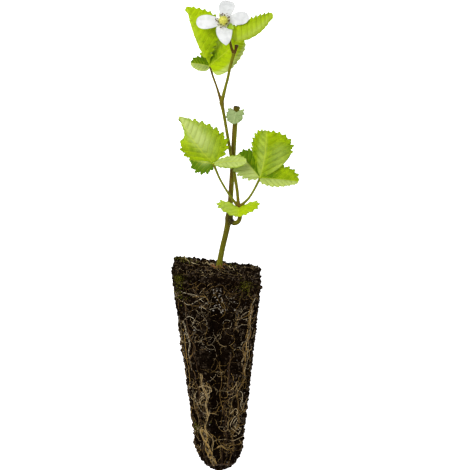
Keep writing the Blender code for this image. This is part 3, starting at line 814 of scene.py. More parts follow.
def studs(name: str, places: Sequence[Point], axes: Sequence[np.ndarray], tree: NodeTree,
          finish: Small, size: Point, subdivisions: int = 2) -> Object:
    """Rounded grains on points, as one piece.

    Args:
        name: The piece's name.
        places: The grains' places.
        axes: Their long axes.
        tree: The stud tree.
        finish: Their finish.
        size: Their half sizes.
        subdivisions: How round they are.

    Returns:
        The piece.
    """
    ways = np.array([way / np.linalg.norm(way) for way in axes]) @ TURNED.T
    holder = new_piece(name, np.array(places), [], None, {"axis": ways})
    return grow(holder, tree, Size=tuple(value * MM for value in size),
                Subdivisions=subdivisions, Material=finish.material())


def joined(shells: Sequence[Shell]) -> Shell:
    """Several shells as one.

    Args:
        shells: Points, faces and marks of each.

    Returns:
        All points, all faces and the marks that the first one has.
    """
    faces, start = [], 0
    for points, corners, _ in shells:
        faces += [[start + corner for corner in face] for face in corners]
        start += len(points)
    marks = {name: np.concatenate([own[name] for _, _, own in shells]) for name in shells[0][2]}
    return np.concatenate([points for points, _, _ in shells]), faces, marks


def copy_of_node(name: str, node: str) -> Object:
    """A merged copy of a CAD node's mesh as an object of its own.

    Args:
        name: The copy's name.
        node: The CAD node.

    Returns:
        The copy.
    """
    bm = bmesh.new()
    bm.from_mesh(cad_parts[node].data)
    bmesh.ops.remove_doubles(bm, verts=bm.verts, dist=2e-6)
    mesh = bpy.data.meshes.new(name)
    bm.to_mesh(mesh)
    bm.free()
    mesh.materials.clear()
    return link(name, mesh)


def coordinates(mesh: Mesh, kind: str = "co") -> np.ndarray:
    """The places of a mesh's points, or their normals, as rows."""
    values = np.empty(len(mesh.vertices) * 3, np.float32)
    mesh.vertices.foreach_get(kind, values)
    return values.reshape(-1, 3).astype(float)


def above_floor(mesh: Mesh) -> None:
    """Press a mesh's points up onto the floor where they are below it.

    Args:
        mesh: The mesh.
    """
    places = coordinates(mesh)
    places[:, 2] = np.maximum(places[:, 2], 0.0)
    mesh.vertices.foreach_set("co", places.astype(np.float32).ravel())
    mesh.update()


def keep(piece: Object, slot: str, *nodes: str) -> Object:
    """Parent a finished piece to the root body, hide the CAD nodes that it stands for and log its
    triangles.

    Args:
        piece: The piece.
        slot: The slot that its finish belongs to; not used.
        nodes: The CAD nodes that it stands for.

    Returns:
        The piece.
    """
    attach(piece, "root")
    if nodes:
        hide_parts(*nodes)
    triangles = sum(len(face.vertices) - 2 for face in piece.data.polygons)
    LOG.info("%s: %d triangles", piece.name, triangles)
    return piece


# Leaves


@dataclass(frozen=True)
class Patch:
    """A soft round patch of a blade that differs in tone.

    Attributes:
        along: Its middle along the blade, from 0 at the base to 1 at the tip.
        across: Its middle across it, from -1 at the left margin to 1 at the right.
        size: Its reach along and across.
        tone_and_shade: What it adds to the green's brightness.
        sheen: What it adds to the pale sheen.
    """

    along: float
    across: float
    size: Pair
    tone_and_shade: float = 0.0
    sheen: float = 0.0


@dataclass(frozen=True)
class Blade:
    """A thin blade from base to tip with its upper side towards face.

    Pairs are for its left and its right half, seen from above with the tip up.

    Attributes:
        base: Where it starts.
        tip: Where it ends.
        face: The way its upper side looks.
        wide: Half width.
        widest: Where along the length that is reached.
        blunt: How the outline closes at the tip, small for a round end.
        fold: How far the half rises from the midrib, in degrees.
        fold_tip: The same near the tip, where it differs.
        heart: How far the lobes are swept back past the base.
        arch: How far the midrib's middle is lifted, as a share of the length.
        sway: How far it is bent sideways, as a share of the length.
        curl: How much the margins bend down again.
        teeth: Teeth along a margin.
        tooth: Their height.
        toothed: Between which shares of each margin they stand.
        wave: Height of the margin's ripples.
        turns: How many ripples there are.
        neck: Half width at the base.
        veins: Side veins on a half.
        pleat: Height of the pleats between them.
        crumple: Height of its unevenness.
        tone_and_shade: How bright the green is, from 0 to 1, partly its own tone and partly painted
            shade.
        sheen: How strong the pale sheen is on each half.
        spread: How much of a half the sheen covers.
        hem: How pale the curled margin is.
        patches: Patches of another tone.
        thickness: The blade's thickness.
    """

    base: Point
    tip: Point
    face: Point
    wide: Pair
    widest: Pair = (0.45, 0.45)
    blunt: Pair = (0.6, 0.6)
    fold: Pair = (20.0, 20.0)
    fold_tip: Optional[Pair] = None
    heart: float = 0.0
    arch: float = 0.05
    sway: float = 0.0
    curl: float = 0.25
    teeth: int = 9
    tooth: Pair = (1.1, 1.1)
    toothed: tuple[Pair, Pair] = ((0.08, 0.95), (0.08, 0.95))
    wave: float = 0.0
    turns: float = 1.5
    neck: float = 0.6
    veins: float = 8.0
    pleat: float = 0.5
    crumple: float = 0.3
    tone_and_shade: float = 0.8
    sheen: Pair = (0.2, 0.2)
    spread: float = 0.45
    hem: Pair = (0.0, 0.0)
    patches: tuple[Patch, ...] = ()
    thickness: float = 0.34

    def margin(self, t: np.ndarray, half: int, length: float) -> np.ndarray:
        """The outline of one half without its teeth.

        Args:
            t: Places along the blade, from 0 to 1.
            half: 0 for the left half, 1 for the right.
            length: The blade's length.

        Returns:
            Rows of the distances along and across.
        """
        widest, blunt = self.widest[half], self.blunt[half]
        rise = blunt * widest / (1.0 - widest)
        peak = widest ** rise * (1.0 - widest) ** blunt
        neck = self.neck * (1.0 - 0.8 * t)
        width = neck + (self.wide[half] - neck) * t ** rise * (1.0 - t) ** blunt / peak
        return np.stack([length * t - self.heart * width * (1.0 - t) ** 2, width], -1)

    @staticmethod
    def saw(phase: np.ndarray) -> np.ndarray:
        """Teeth from 0 to 1 that rise slowly and fall quickly."""
        part, peak = phase % 1.0, 0.68
        return np.where(part < peak, part / peak, (1.0 - part) / 0.32) ** 0.9

    def halves(self, rows: int, length: float) -> tuple[np.ndarray, list[np.ndarray]]:
        """Rows spaced evenly along the margins, and each margin's shape there.

        Args:
            rows: Steps from base to tip.
            length: The blade's length.

        Returns:
            Places along the blade, and for each half rows of the margin's width and its
            teeth's reach along and across.
        """
        samples = 1500
        fine = 0.5 - 0.5 * np.cos(np.linspace(0.0, math.pi, samples))
        rims = [self.margin(fine, half, length) for half in (0, 1)]
        arcs = [np.insert(np.cumsum(np.linalg.norm(np.diff(rim, axis=0), axis=1)), 0, 0.0)
                for rim in rims]
        whole = arcs[0] + arcs[1]
        t = np.interp(np.linspace(0.0, whole[-1], rows + 1), whole, fine)
        sides = []
        for half, (rim, arc) in enumerate(zip(rims, arcs)):
            way = np.gradient(rim, axis=0)
            way = np.stack([np.interp(t, fine, way[:, axis]) for axis in (0, 1)], -1)
            way /= np.maximum(np.linalg.norm(way, axis=1, keepdims=True), 1e-9)
            out = np.stack([-way[:, 1], way[:, 0]], -1)
            share = np.interp(t, fine, arc) / arc[-1]
            width = np.interp(t, fine, rim[:, 1])
            big = self.saw(share * self.teeth)
            bite = big - 0.5 + 0.35 * (self.saw(share * self.teeth * 3.0) - 0.5)
            first, last = self.toothed[half]
            fade = blend(first - 0.05, first + 0.05, share) * blend(last + 0.04, last - 0.04, share)
            fade *= np.minimum(1.0, width / 2.5)
            size = (self.tooth[half] * fade)[:, None]
            reach = out * bite[:, None] * size + way * 0.45 * big[:, None] * size
            sides.append(np.column_stack([width, reach]))
        return t, sides

    def sheet(self, rows: int, columns: int) -> tuple[np.ndarray, Marks]:
        """The blade's middle surface.

        Args:
            rows: Steps from base to tip.
            columns: Steps from the midrib to a margin.

        Returns:
            A grid of points and the marks of each.
        """
        base, tip, face = (np.array(place) for place in (self.base, self.tip, self.face))
        length = float(np.linalg.norm(tip - base))
        along = (tip - base) / length
        up = face - along * face.dot(along)
        up /= np.linalg.norm(up)
        t, sides = self.halves(rows, length)
        half = 1.0 - (1.0 - np.linspace(0.0, 1.0, columns + 1)) ** 1.3
        signed = np.concatenate([-half[:0:-1], half])[None, :] * np.ones_like(t)[:, None]
        share, right = np.abs(signed), signed > 0.0
        t = t[:, None] * np.ones_like(signed)
        width, bite_along, bite_across = (
            np.where(right, sides[1][:, i:i + 1], sides[0][:, i:i + 1]) for i in range(3))

        def each(pair: Pair) -> np.ndarray:
            """The pair's value for the half that each point is on."""
            return np.where(right, pair[1], pair[0])

        edge = blend(0.72, 1.0, share)
        reach = width * share + bite_across * edge
        late = blend(0.52, 0.74, t)
        fold = each(self.fold) * (1.0 - late) + each(self.fold_tip or self.fold) * late
        angle = np.radians(fold) * blend(0.0, 4.0, width)
        lift = reach * np.sin(angle) * (1.0 - self.curl * share)
        swell = width / np.max(width)
        lift += self.wave * np.sin(math.tau * self.turns * t + right) * share ** 2 * swell
        forward = bite_along * edge - self.heart * width * share * (1.0 - t) ** 2
        bow = 4.0 * t * (1.0 - t) * length
        flat = [length * t + forward,
                np.sign(signed) * reach * np.cos(angle) + self.sway * bow, lift + self.arch * bow]
        points = base + sum(part[..., None] * way
                            for part, way in zip(flat, (along, np.cross(along, up), up)))
        spacing = length / self.veins
        rib = (length * t - 0.75 * width * share) / spacing + 0.5 * right
        hollow = blend(0.0, 2.2, reach) * (1.0 - 0.5 * share)
        folds = self.pleat * (np.abs(np.sin(math.pi * rib)) - 0.55) * hollow
        folds -= 0.25 * self.pleat * np.exp(-(reach / 0.5) ** 2)
        folds += self.crumple * (rough(points, 4.0) + 0.5 * rough(points + 50.0, 1.8)) * hollow
        points = points + self.normals(points) * folds[..., None]
        tone_and_shade = np.full_like(t, self.tone_and_shade)
        sheen = each(self.sheen) * (1.0 - blend(self.spread, self.spread + 0.4, share))
        for patch in self.patches:
            away = ((t - patch.along) / patch.size[0]) ** 2
            away = np.exp(-away - ((signed - patch.across) / patch.size[1]) ** 2)
            tone_and_shade += patch.tone_and_shade * away
            sheen += patch.sheen * away
        hem = each(self.hem) * blend(0.62, 0.8, share)
        ones = np.ones_like(t)
        return points, {"blade": np.stack([signed, rib, t], -1),
                        "size": np.stack([reach, spacing * ones, ones], -1),
                        "tint": np.stack([tone_and_shade, np.clip(sheen, 0.0, 1.0), hem], -1)}

    @staticmethod
    def normals(points: np.ndarray) -> np.ndarray:
        """The unit normals of a grid of points, on its upper side."""
        normal = np.cross(np.gradient(points, axis=1), np.gradient(points, axis=0))
        return normal / np.maximum(np.linalg.norm(normal, axis=-1, keepdims=True), 1e-9)

    def shell(self, rows: int, columns: int) -> Shell:
        """The closed blade.

        Args:
            rows: Steps from base to tip.
            columns: Steps from the midrib to a margin.

        Returns:
            Points, faces and marks.
        """
        middle, marks = self.sheet(rows, columns)
        normal = self.normals(middle) * self.thickness / 2.0
        count = middle.shape[0] * middle.shape[1]
        points = np.concatenate([(middle + normal).reshape(-1, 3), (middle - normal).reshape(-1, 3)])
        index = np.arange(count).reshape(middle.shape[:2])
        quads = np.stack([index[:-1, :-1], index[:-1, 1:], index[1:, 1:], index[1:, :-1]], -1)
        quads = quads.reshape(-1, 4)
        rim = np.concatenate([index[0, :], index[1:, -1], index[-1, -2::-1], index[-2:0:-1, 0]])
        after = np.roll(rim, -1)
        walls = np.stack([rim, rim + count, after + count, after], -1)
        faces = quads.tolist() + (quads[:, ::-1] + count).tolist() + walls.tolist()
        both = {name: np.tile(values.reshape(-1, 3), (2, 1)) for name, values in marks.items()}
        both["size"][count:, 2] = 0.0
        return points, faces, both


@dataclass
class Foliage:
    """Every leaf of the plant.

    Attributes:
        material: The leaves' material.
        grey_material: The material of the cane's last leaf.
        rows_per_tooth: Rows of a blade for each tooth of its margin.
        columns: Columns of half a blade.
        hub_size: Radius of the knob where leaflets meet.
        hub_gap: How far from the knob's middle they start.
        hub_left: Where the knob of the left leaf is, and so on.
    """

    material: Material
    grey_material: Material
    rows_per_tooth: int = 11
    columns: int = 14
    hub_size: float = 0.7
    hub_gap: float = 0.5
    hub_left: Point = (-1.9, -8.0, 64.7)
    hub_right: Point = (25.1, -8.0, 56.2)
    hub_top: Point = (-4.1, 1.0, 120.2)

    def leaf(self, node: str, blades: Iterable[Blade], slot: str = "leaf",
             hub: Optional[Point] = None) -> Object:
        """Build one leaf and let it stand for its CAD node.

        Args:
            node: The CAD node.
            blades: Its blades, which start near the hub if there is one.
            slot: The slot of its finish.
            hub: Where its leaflets meet, if it has several.

        Returns:
            The leaf.
        """
        if hub is not None:
            blades = [replace(blade, base=self.near_hub(hub, blade.tip)) for blade in blades]
        shells = [blade.shell(blade.teeth * self.rows_per_tooth, self.columns) for blade in blades]
        if hub is not None:
            shells.append(self.knob(hub, shells[0][2]))
        points, faces, marks = joined(shells)
        material = self.material if slot == "leaf" else self.grey_material
        return keep(new_piece(node + "_fine", points, faces, material, marks), slot, node)

    def near_hub(self, hub: Point, tip: Point) -> Point:
        """Where a leaflet starts, a little way from the hub towards its tip."""
        way = np.array(tip) - np.array(hub)
        return tuple(np.array(hub) + way / np.linalg.norm(way) * self.hub_gap)

    def knob(self, hub: Point, like: Marks) -> Shell:
        """The knob where leaflets meet, with the marks of a midrib.

        Args:
            hub: Its middle.
            like: Marks of a blade, for their names.

        Returns:
            Points, faces and marks.
        """
        bm = bmesh.new()
        bmesh.ops.create_icosphere(bm, subdivisions=3, radius=self.hub_size,
                                   matrix=Matrix.Translation(hub))
        points = np.array([tuple(vert.co) for vert in bm.verts])
        faces = [[vert.index for vert in face.verts] for face in bm.faces]
        bm.free()
        marks = {name: np.zeros((len(points), 3)) for name in like}
        marks["size"][:, 2] = 1.0
        marks["tint"][:, 0] = 0.5
        return points, faces, marks

    def left(self) -> None:
        """The left leaf: a big folded leaflet, a dark low one and a pale right one."""
        hub = self.hub_left
        big, low, right = (-21.6, -5.0, 91.8), (-14.9, -1.5, 66.0), (17.2, -13.0, 66.8)
        self.leaf("leaf_left", (
            Blade(hub, big, (0.0, -1.0, 0.15), (13.0, 15.9), (0.42, 0.3),
                  (1.0, 1.05), (-46.0, 4.0), (-80.0, 6.0), heart=0.08, sway=-0.05, curl=0.1,
                  teeth=11, tooth=(2.8, 2.4), toothed=((0.05, 0.62), (0.08, 0.86)), wave=0.9,
                  turns=2.5, veins=9.0, pleat=0.75, tone_and_shade=0.84, sheen=(0.0, 0.0),
                  patches=(Patch(0.97, 0.0, (0.10, 1.0), -0.5, 0.5),
                           Patch(0.82, 0.28, (0.30, 0.50), -0.1, 0.9),
                           Patch(0.50, 0.24, (0.30, 0.32), -0.1, 0.9))),
            Blade(hub, low, (0.0, -1.0, -0.1), (6.9, 4.4), (0.5, 0.5),
                  (0.42, 0.42), (10.0, 0.0), heart=0.2, teeth=6, tooth=(1.9, 1.6), veins=5.0,
                  pleat=0.35, crumple=0.5, tone_and_shade=0.08, sheen=(0.0, 0.0),
                  patches=(Patch(0.35, 0.2, (0.25, 0.5), 0.0, 0.6),)),
            Blade(hub, right, (0.0, -0.8, 0.6), (4.4, 6.0), (0.6, 0.62),
                  (0.5, 0.45), (-14.0, 24.0), arch=0.04, teeth=7, tooth=(0.7, 0.5), veins=7.0,
                  tone_and_shade=0.75, sheen=(0.75, 0.9), spread=0.7),
        ), hub=hub)

    def right(self) -> None:
        """The right leaf: a big round leaflet, a dark folded one and a low one."""
        hub = self.hub_right
        big, dark, low = (28.8, -6.0, 83.4), (12.6, -5.6, 70.0), (47.3, -11.0, 54.6)
        self.leaf("leaf_right", (
            Blade(hub, big, (0.1, -1.0, 0.1), (10.0, 15.4), (0.64, 0.70),
                  (0.36, 0.34), (-42.0, 8.0), sway=0.03, curl=0.1, teeth=13, tooth=(2.0, 2.2),
                  toothed=((0.45, 0.99), (0.5, 0.99)), wave=0.7, veins=7.0, pleat=1.0,
                  tone_and_shade=0.74, sheen=(0.30, 0.05), spread=0.3,
                  patches=(Patch(0.6, 0.55, (0.3, 0.3), -0.25, 0.25),
                           Patch(0.9, 0.3, (0.2, 0.6), 0.25, -0.2),
                           Patch(0.3, 0.9, (0.25, 0.3), 0.1, 0.3))),
            # The dark folded leaflet: its green is painted dark as painted shade, its left half pale
            # as a painted sheen.
            Blade(hub, dark, (0.0, -1.0, 0.3), (8.6, 8.8), (0.6, 0.6),
                  (0.42, 0.42), (6.0, -25.0), teeth=8, tooth=(1.7, 2.2), veins=6.0, pleat=0.7,
                  tone_and_shade=0.18, sheen=(0.95, 0.0), spread=0.9,
                  patches=(Patch(0.7, -0.7, (0.2, 0.4), 0.3, -0.3),)),
            Blade(hub, low, (0.0, -0.8, 0.6), (8.4, 7.4), (0.52, 0.4),
                  (0.5, 0.65), (12.0, 30.0), heart=0.15, arch=0.03, teeth=9, tooth=(2.0, 1.4),
                  wave=0.4, veins=7.0, pleat=0.65, tone_and_shade=0.74, sheen=(0.0, 0.75), spread=0.6,
                  hem=(0.0, 0.8), patches=(Patch(0.25, -0.2, (0.2, 0.3), -0.55, 0.0),)),
        ), hub=hub)

    def top(self) -> None:
        """The top leaf: a big leaflet with a smooth ridge, a small dark one and a right one."""
        hub = self.hub_top
        big, small, right = (-17.2, 5.0, 154.2), (-14.8, -3.0, 122.3), (15.2, 5.5, 135.4)
        self.leaf("leaf_top", (
            Blade(hub, big, (0.0, -1.0, 0.1), (8.0, 16.4), (0.5, 0.58),
                  (0.9, 1.1), (-96.0, 6.0), sway=-0.055, curl=0.1, teeth=14, tooth=(0.8, 1.8),
                  toothed=((0.08, 0.8), (0.08, 0.93)), wave=0.4, veins=9.0, pleat=0.6,
                  tone_and_shade=1.06, sheen=(0.0, 0.0),
                  patches=(Patch(0.25, 0.7, (0.18, 0.3), -0.45, 0.0),
                           Patch(0.5, 0.05, (0.6, 0.12), 0.25, 0.10))),
            Blade(hub, small, (0.0, -1.0, 0.4), (5.4, 4.6), (0.5, 0.5),
                  (0.5, 0.5), (30.0, 10.0), teeth=6, tooth=(0.4, 1.1), veins=6.0,
                  tone_and_shade=0.15, sheen=(0.85, 0.0), spread=0.9, hem=(0.9, 0.0)),
            Blade(hub, right, (-0.1, -1.0, 0.35), (12.6, 10.2), (0.42, 0.34),
                  (0.5, 0.5), (-14.0, 14.0), heart=0.3, curl=0.35, teeth=12, tooth=(1.4, 0.9),
                  toothed=((0.08, 0.95), (0.4, 0.97)), wave=0.5, veins=8.0, pleat=0.6,
                  tone_and_shade=1.3, sheen=(0.0, 0.0), hem=(0.0, 0.9),
                  patches=(Patch(0.2, -0.3, (0.22, 0.4), -1.0, 0.0),
                           Patch(0.45, -0.75, (0.2, 0.25), 0.1, 0.6),
                           Patch(0.75, 0.7, (0.3, 0.3), 0.25, 0.1))),
        ), hub=hub)

    def singles(self) -> None:
        """The leaf under the side shoot, the bract under the flower and the cane's last leaf."""
        self.leaf("leaf_low", (Blade(
            (13.0, -6.3, 38.4), (12.4, -14.6, 34.6), (0.0, -0.4, 1.0), (12.2, 12.8), (0.4, 0.4),
            (0.5, 0.5), (20.0, 14.0), heart=0.45, arch=0.08, curl=0.2, teeth=8, tooth=(2.0, 2.0),
            wave=0.5, veins=3.0, tone_and_shade=1.2, sheen=(0.0, 0.15), spread=0.8,
            patches=(Patch(0.5, 0.6, (0.5, 0.3), -0.2, 0.25),)),))
        self.leaf("leaf_bract", (Blade(
            (11.3, -7.2, 135.2), (32.0, -9.0, 151.0), (0.0, -1.0, 0.1), (10.0, 6.0), (0.30, 0.5),
            (0.74, 0.8), (6.0, -80.0), heart=0.3, sway=0.12, teeth=14, tooth=(1.8, 0.4),
            toothed=((0.04, 0.93), (0.08, 0.6)), wave=0.3, veins=8.0, pleat=0.75,
            tone_and_shade=1.24, sheen=(0.1, 0.1),
            patches=(Patch(0.6, -0.8, (0.35, 0.25), -0.35, 0.0),
                     Patch(0.5, -0.15, (0.5, 0.15), 0.2, 0.3))),))
        self.leaf("leaf_cane_top", (Blade(
            (11.2, -1.9, 93.6), (9.6, -5.8, 87.6), (-0.1, -0.8, 0.6), (5.8, 5.2), (0.4, 0.4),
            (0.4, 0.4), (24.0, 20.0), heart=0.5, curl=0.1, teeth=6, tooth=(1.1, 1.0), wave=1.0,
            turns=2.4, veins=3.0, crumple=0.8, tone_and_shade=0.4, sheen=(0.5, 0.6), spread=0.8),),
            "grey_leaf")

    def build(self) -> None:
        """Build every leaf."""
        self.left()
        self.right()
        self.top()
        self.singles()


# Stem


@dataclass
class Stem:
    """The cane, the side shoot and every stalk, grown as one piece.

    Attributes:
        material: The bark's material.
        trees: The geometry trees.
        hubs: Where the stalks end.
        pedicel_end: Where the flower's stalk meets the cup, and a point before it.
        voxel: The size of the cells that fuse the tubes.
        slim: How much wider than its solid a thin stalk is drawn.
        stout: How much wider the cane is drawn.
        sides: How many sides a tube has before they are fused.
        hair_length: A hair's length, hair_radius its radius, hair_density its number on a square
            metre.
        cane: Its knots, and so on for each branch.
        tones: Age and blush of each branch, from 0 to 1.
        blushes: Where the bark is redder.
        scars: Where it is nearly black.
    """

    material: Material
    trees: Trees
    hubs: tuple[Point, Point, Point]
    pedicel_end: tuple[Point, Point]
    voxel: float = 0.2
    slim: float = 1.36
    stout: float = 1.07
    sides: int = 14
    hair_length: float = 0.8
    hair_radius: float = 0.06
    hair_density: float = 6.0e5
    cane: tuple[Knot, ...] = (
        (-1.1, 5.2, -10.4, 1.5), (1.1, 4.0, 1.5, 1.65), (2.9, 3.0, 11.4, 1.6), (5.3, 1.0, 22.0, 1.6),
        (6.5, 0.3, 28.0, 1.8), (7.1, 0.0, 31.2, 2.3), (7.4, 0.0, 34.5, 1.8), (7.8, 0.0, 40.0, 1.5),
        (8.5, 0.0, 51.0, 1.4), (9.1, 0.0, 60.0, 1.4), (10.0, 0.3, 77.0, 1.4), (10.6, 0.8, 86.0, 1.45),
        (11.2, 0.9, 93.6, 1.45), (11.6, 1.0, 96.0, 2.0), (11.8, 1.0, 97.0, 1.5),
    )
    shoot: tuple[Knot, ...] = (
        (7.6, -0.6, 30.6, 1.3), (10.0, -2.6, 28.6, 1.1), (12.6, -4.4, 30.0, 1.0),
        (13.5, -4.9, 33.2, 1.0), (13.0, -4.7, 36.2, 1.0), (12.7, -4.5, 38.6, 1.1),
        (12.4, -4.3, 42.0, 0.75), (11.8, -4.0, 48.5, 0.7), (10.3, -4.0, 57.9, 0.7),
        (8.8, -3.6, 65.5, 0.7), (7.7, -3.5, 71.9, 0.7), (5.4, -3.0, 85.3, 0.7),
        (3.7, -2.3, 95.0, 0.75), (2.8, -2.0, 99.7, 1.15),
    )
    stalk_left: tuple[Knot, ...] = (
        (12.6, -4.6, 38.4, 0.8), (10.4, -5.2, 41.6, 0.6), (8.3, -5.6, 44.5, 0.55),
        (4.8, -6.3, 50.0, 0.5), (1.3, -7.2, 56.6, 0.5),
    )
    stalk_right: tuple[Knot, ...] = (
        (12.9, -4.6, 38.4, 0.8), (18.2, -6.2, 43.6, 0.55), (21.6, -7.2, 49.0, 0.5),
    )
    stalk_top: tuple[Knot, ...] = (
        (2.8, -2.0, 99.4, 0.8), (0.2, 0.4, 107.6, 0.5), (-2.2, 3.2, 114.0, 0.5),
        (-3.3, 4.2, 117.6, 0.5),
    )
    peduncle: tuple[Knot, ...] = (
        (2.9, -2.0, 99.6, 0.9), (5.4, -3.0, 109.7, 0.65), (6.3, -3.8, 113.0, 0.65),
        (7.7, -5.2, 119.6, 0.65), (9.9, -6.0, 127.8, 0.8),
    )
    pedicel: tuple[Knot, ...] = (
        (9.9, -6.0, 127.6, 0.7), (8.6, -5.8, 131.2, 0.55), (7.3, -4.6, 136.0, 0.55),
        (5.8, -3.0, 141.0, 0.55),
    )
    bud_branch: tuple[Knot, ...] = (
        (9.9, -6.0, 127.6, 0.7), (11.1, -6.4, 130.6, 0.6), (11.5, -6.5, 133.0, 0.95),
    )
    tones: tuple[tuple[str, float, float], ...] = (
        ("cane", 0.60, 0.10), ("shoot", 0.30, 0.15), ("stalk_left", 0.15, 0.0),
        ("stalk_right", 0.1, 0.0), ("stalk_top", 0.50, 0.38), ("peduncle", 0.20, 0.10),
        ("pedicel", 0.7, 0.40), ("bud_branch", 0.8, 0.4),
    )
    blushes: tuple[Spot, ...] = (((12.8, -4.6, 38.6), 4.0, 0.7), ((2.8, -2.0, 99.6), 3.5, 0.3))
    scars: tuple[Spot, ...] = (
        ((9.2, -2.0, 29.2), 2.2, 1.2), ((11.5, -6.5, 133.4), 1.6, 0.9),
        ((11.8, 1.0, 97.4), 2.4, 1.1), ((7.0, -1.0, 31.6), 2.6, 0.6),
    )

    def routes(self) -> dict[str, np.ndarray]:
        """The smooth route of each branch, as wide as it is drawn.

        Returns:
            Rows of x, y, z and radius, by the branch's name.
        """
        left, right, top = self.hubs
        neck, foot = self.pedicel_end
        knots = {
            "cane": self.cane, "shoot": self.shoot,
            "stalk_left": (*self.stalk_left, (*left, 0.6)),
            "stalk_right": (*self.stalk_right, (*right, 0.6)),
            "stalk_top": (*self.stalk_top, (*top, 0.6)),
            "peduncle": self.peduncle,
            "pedicel": (*self.pedicel, (*neck, 0.6), (*foot, 0.8)),
            "bud_branch": self.bud_branch,
        }
        made = {name: smooth_route(route, 1.0) for name, route in knots.items()}
        for name, route in made.items():
            route[:, 3] *= self.stout if name == "cane" else self.slim
        return made

    def growth(self, points: np.ndarray, routes: dict[str, np.ndarray]) -> np.ndarray:
        """The age, blush and scar of each point, from the branch that it is nearest to, with painted
        light and shade across the cane.

        Args:
            points: Places in the plant's millimetres.
            routes: The branches' routes.

        Returns:
            Rows of three values from 0 to 1.
        """
        age, red, beside, scar = np.zeros((4, len(points)))
        on_cane = np.zeros(len(points), bool)
        nearest = np.full(len(points), np.inf)
        for name, old, rosy in self.tones:
            for knot in routes[name]:
                offset = points - knot[:3]
                away = np.linalg.norm(offset, axis=1) - knot[3]
                closer = away < nearest
                nearest[closer] = away[closer]
                age[closer], red[closer], on_cane[closer] = old, rosy, name == "cane"
                beside[closer] = offset[closer, 0] / knot[3]
        height = points[:, 2]
        # Painted light and shade across the cane above 26 mm: its right side is painted greener and
        # lighter, its left side redder and darker.
        cane = blend(26.0, 36.0, height) * on_cane
        age -= cane * 0.55 * blend(0.1, 0.9, beside)
        red += cane * 0.30 * blend(0.3, -0.8, beside)
        age -= 0.30 * blend(28.0, 2.0, height)
        for values, spots in ((red, self.blushes), (scar, self.scars)):
            for place, size, depth in spots:
                values += depth * np.exp(-(np.linalg.norm(points - place, axis=1) / size) ** 2)
        return np.stack([age, red, scar], -1)

    def build(self) -> None:
        """Fuse the branches into one piece, mark its colours and stand hairs on it."""
        routes = self.routes()
        piece = strands("stem_fine", list(routes.values()), self.trees.strand, self.material,
                        self.sides)
        cells = piece.modifiers.new("fuse", "REMESH")
        cells.mode = "VOXEL"
        cells.voxel_size = self.voxel * MM
        cells.use_smooth_shade = True
        soft = piece.modifiers.new("soften", "SMOOTH")
        soft.factor = 0.5
        soft.iterations = 3
        settle(piece)
        piece.data.materials.clear()
        piece.data.materials.append(self.material)
        add_marks(piece.data, {"growth": self.growth(to_plant(coordinates(piece.data)), routes)})
        keep(piece, "stem", "stem")
        hairs = link("stem_hairs", piece.data.copy())
        grow(hairs, self.trees.hair, Density=self.hair_density, Length=self.hair_length * MM,
             Thickness=self.hair_radius * MM, Material=Small.HAIR.material())
        keep(hairs, "stem")


# Flower


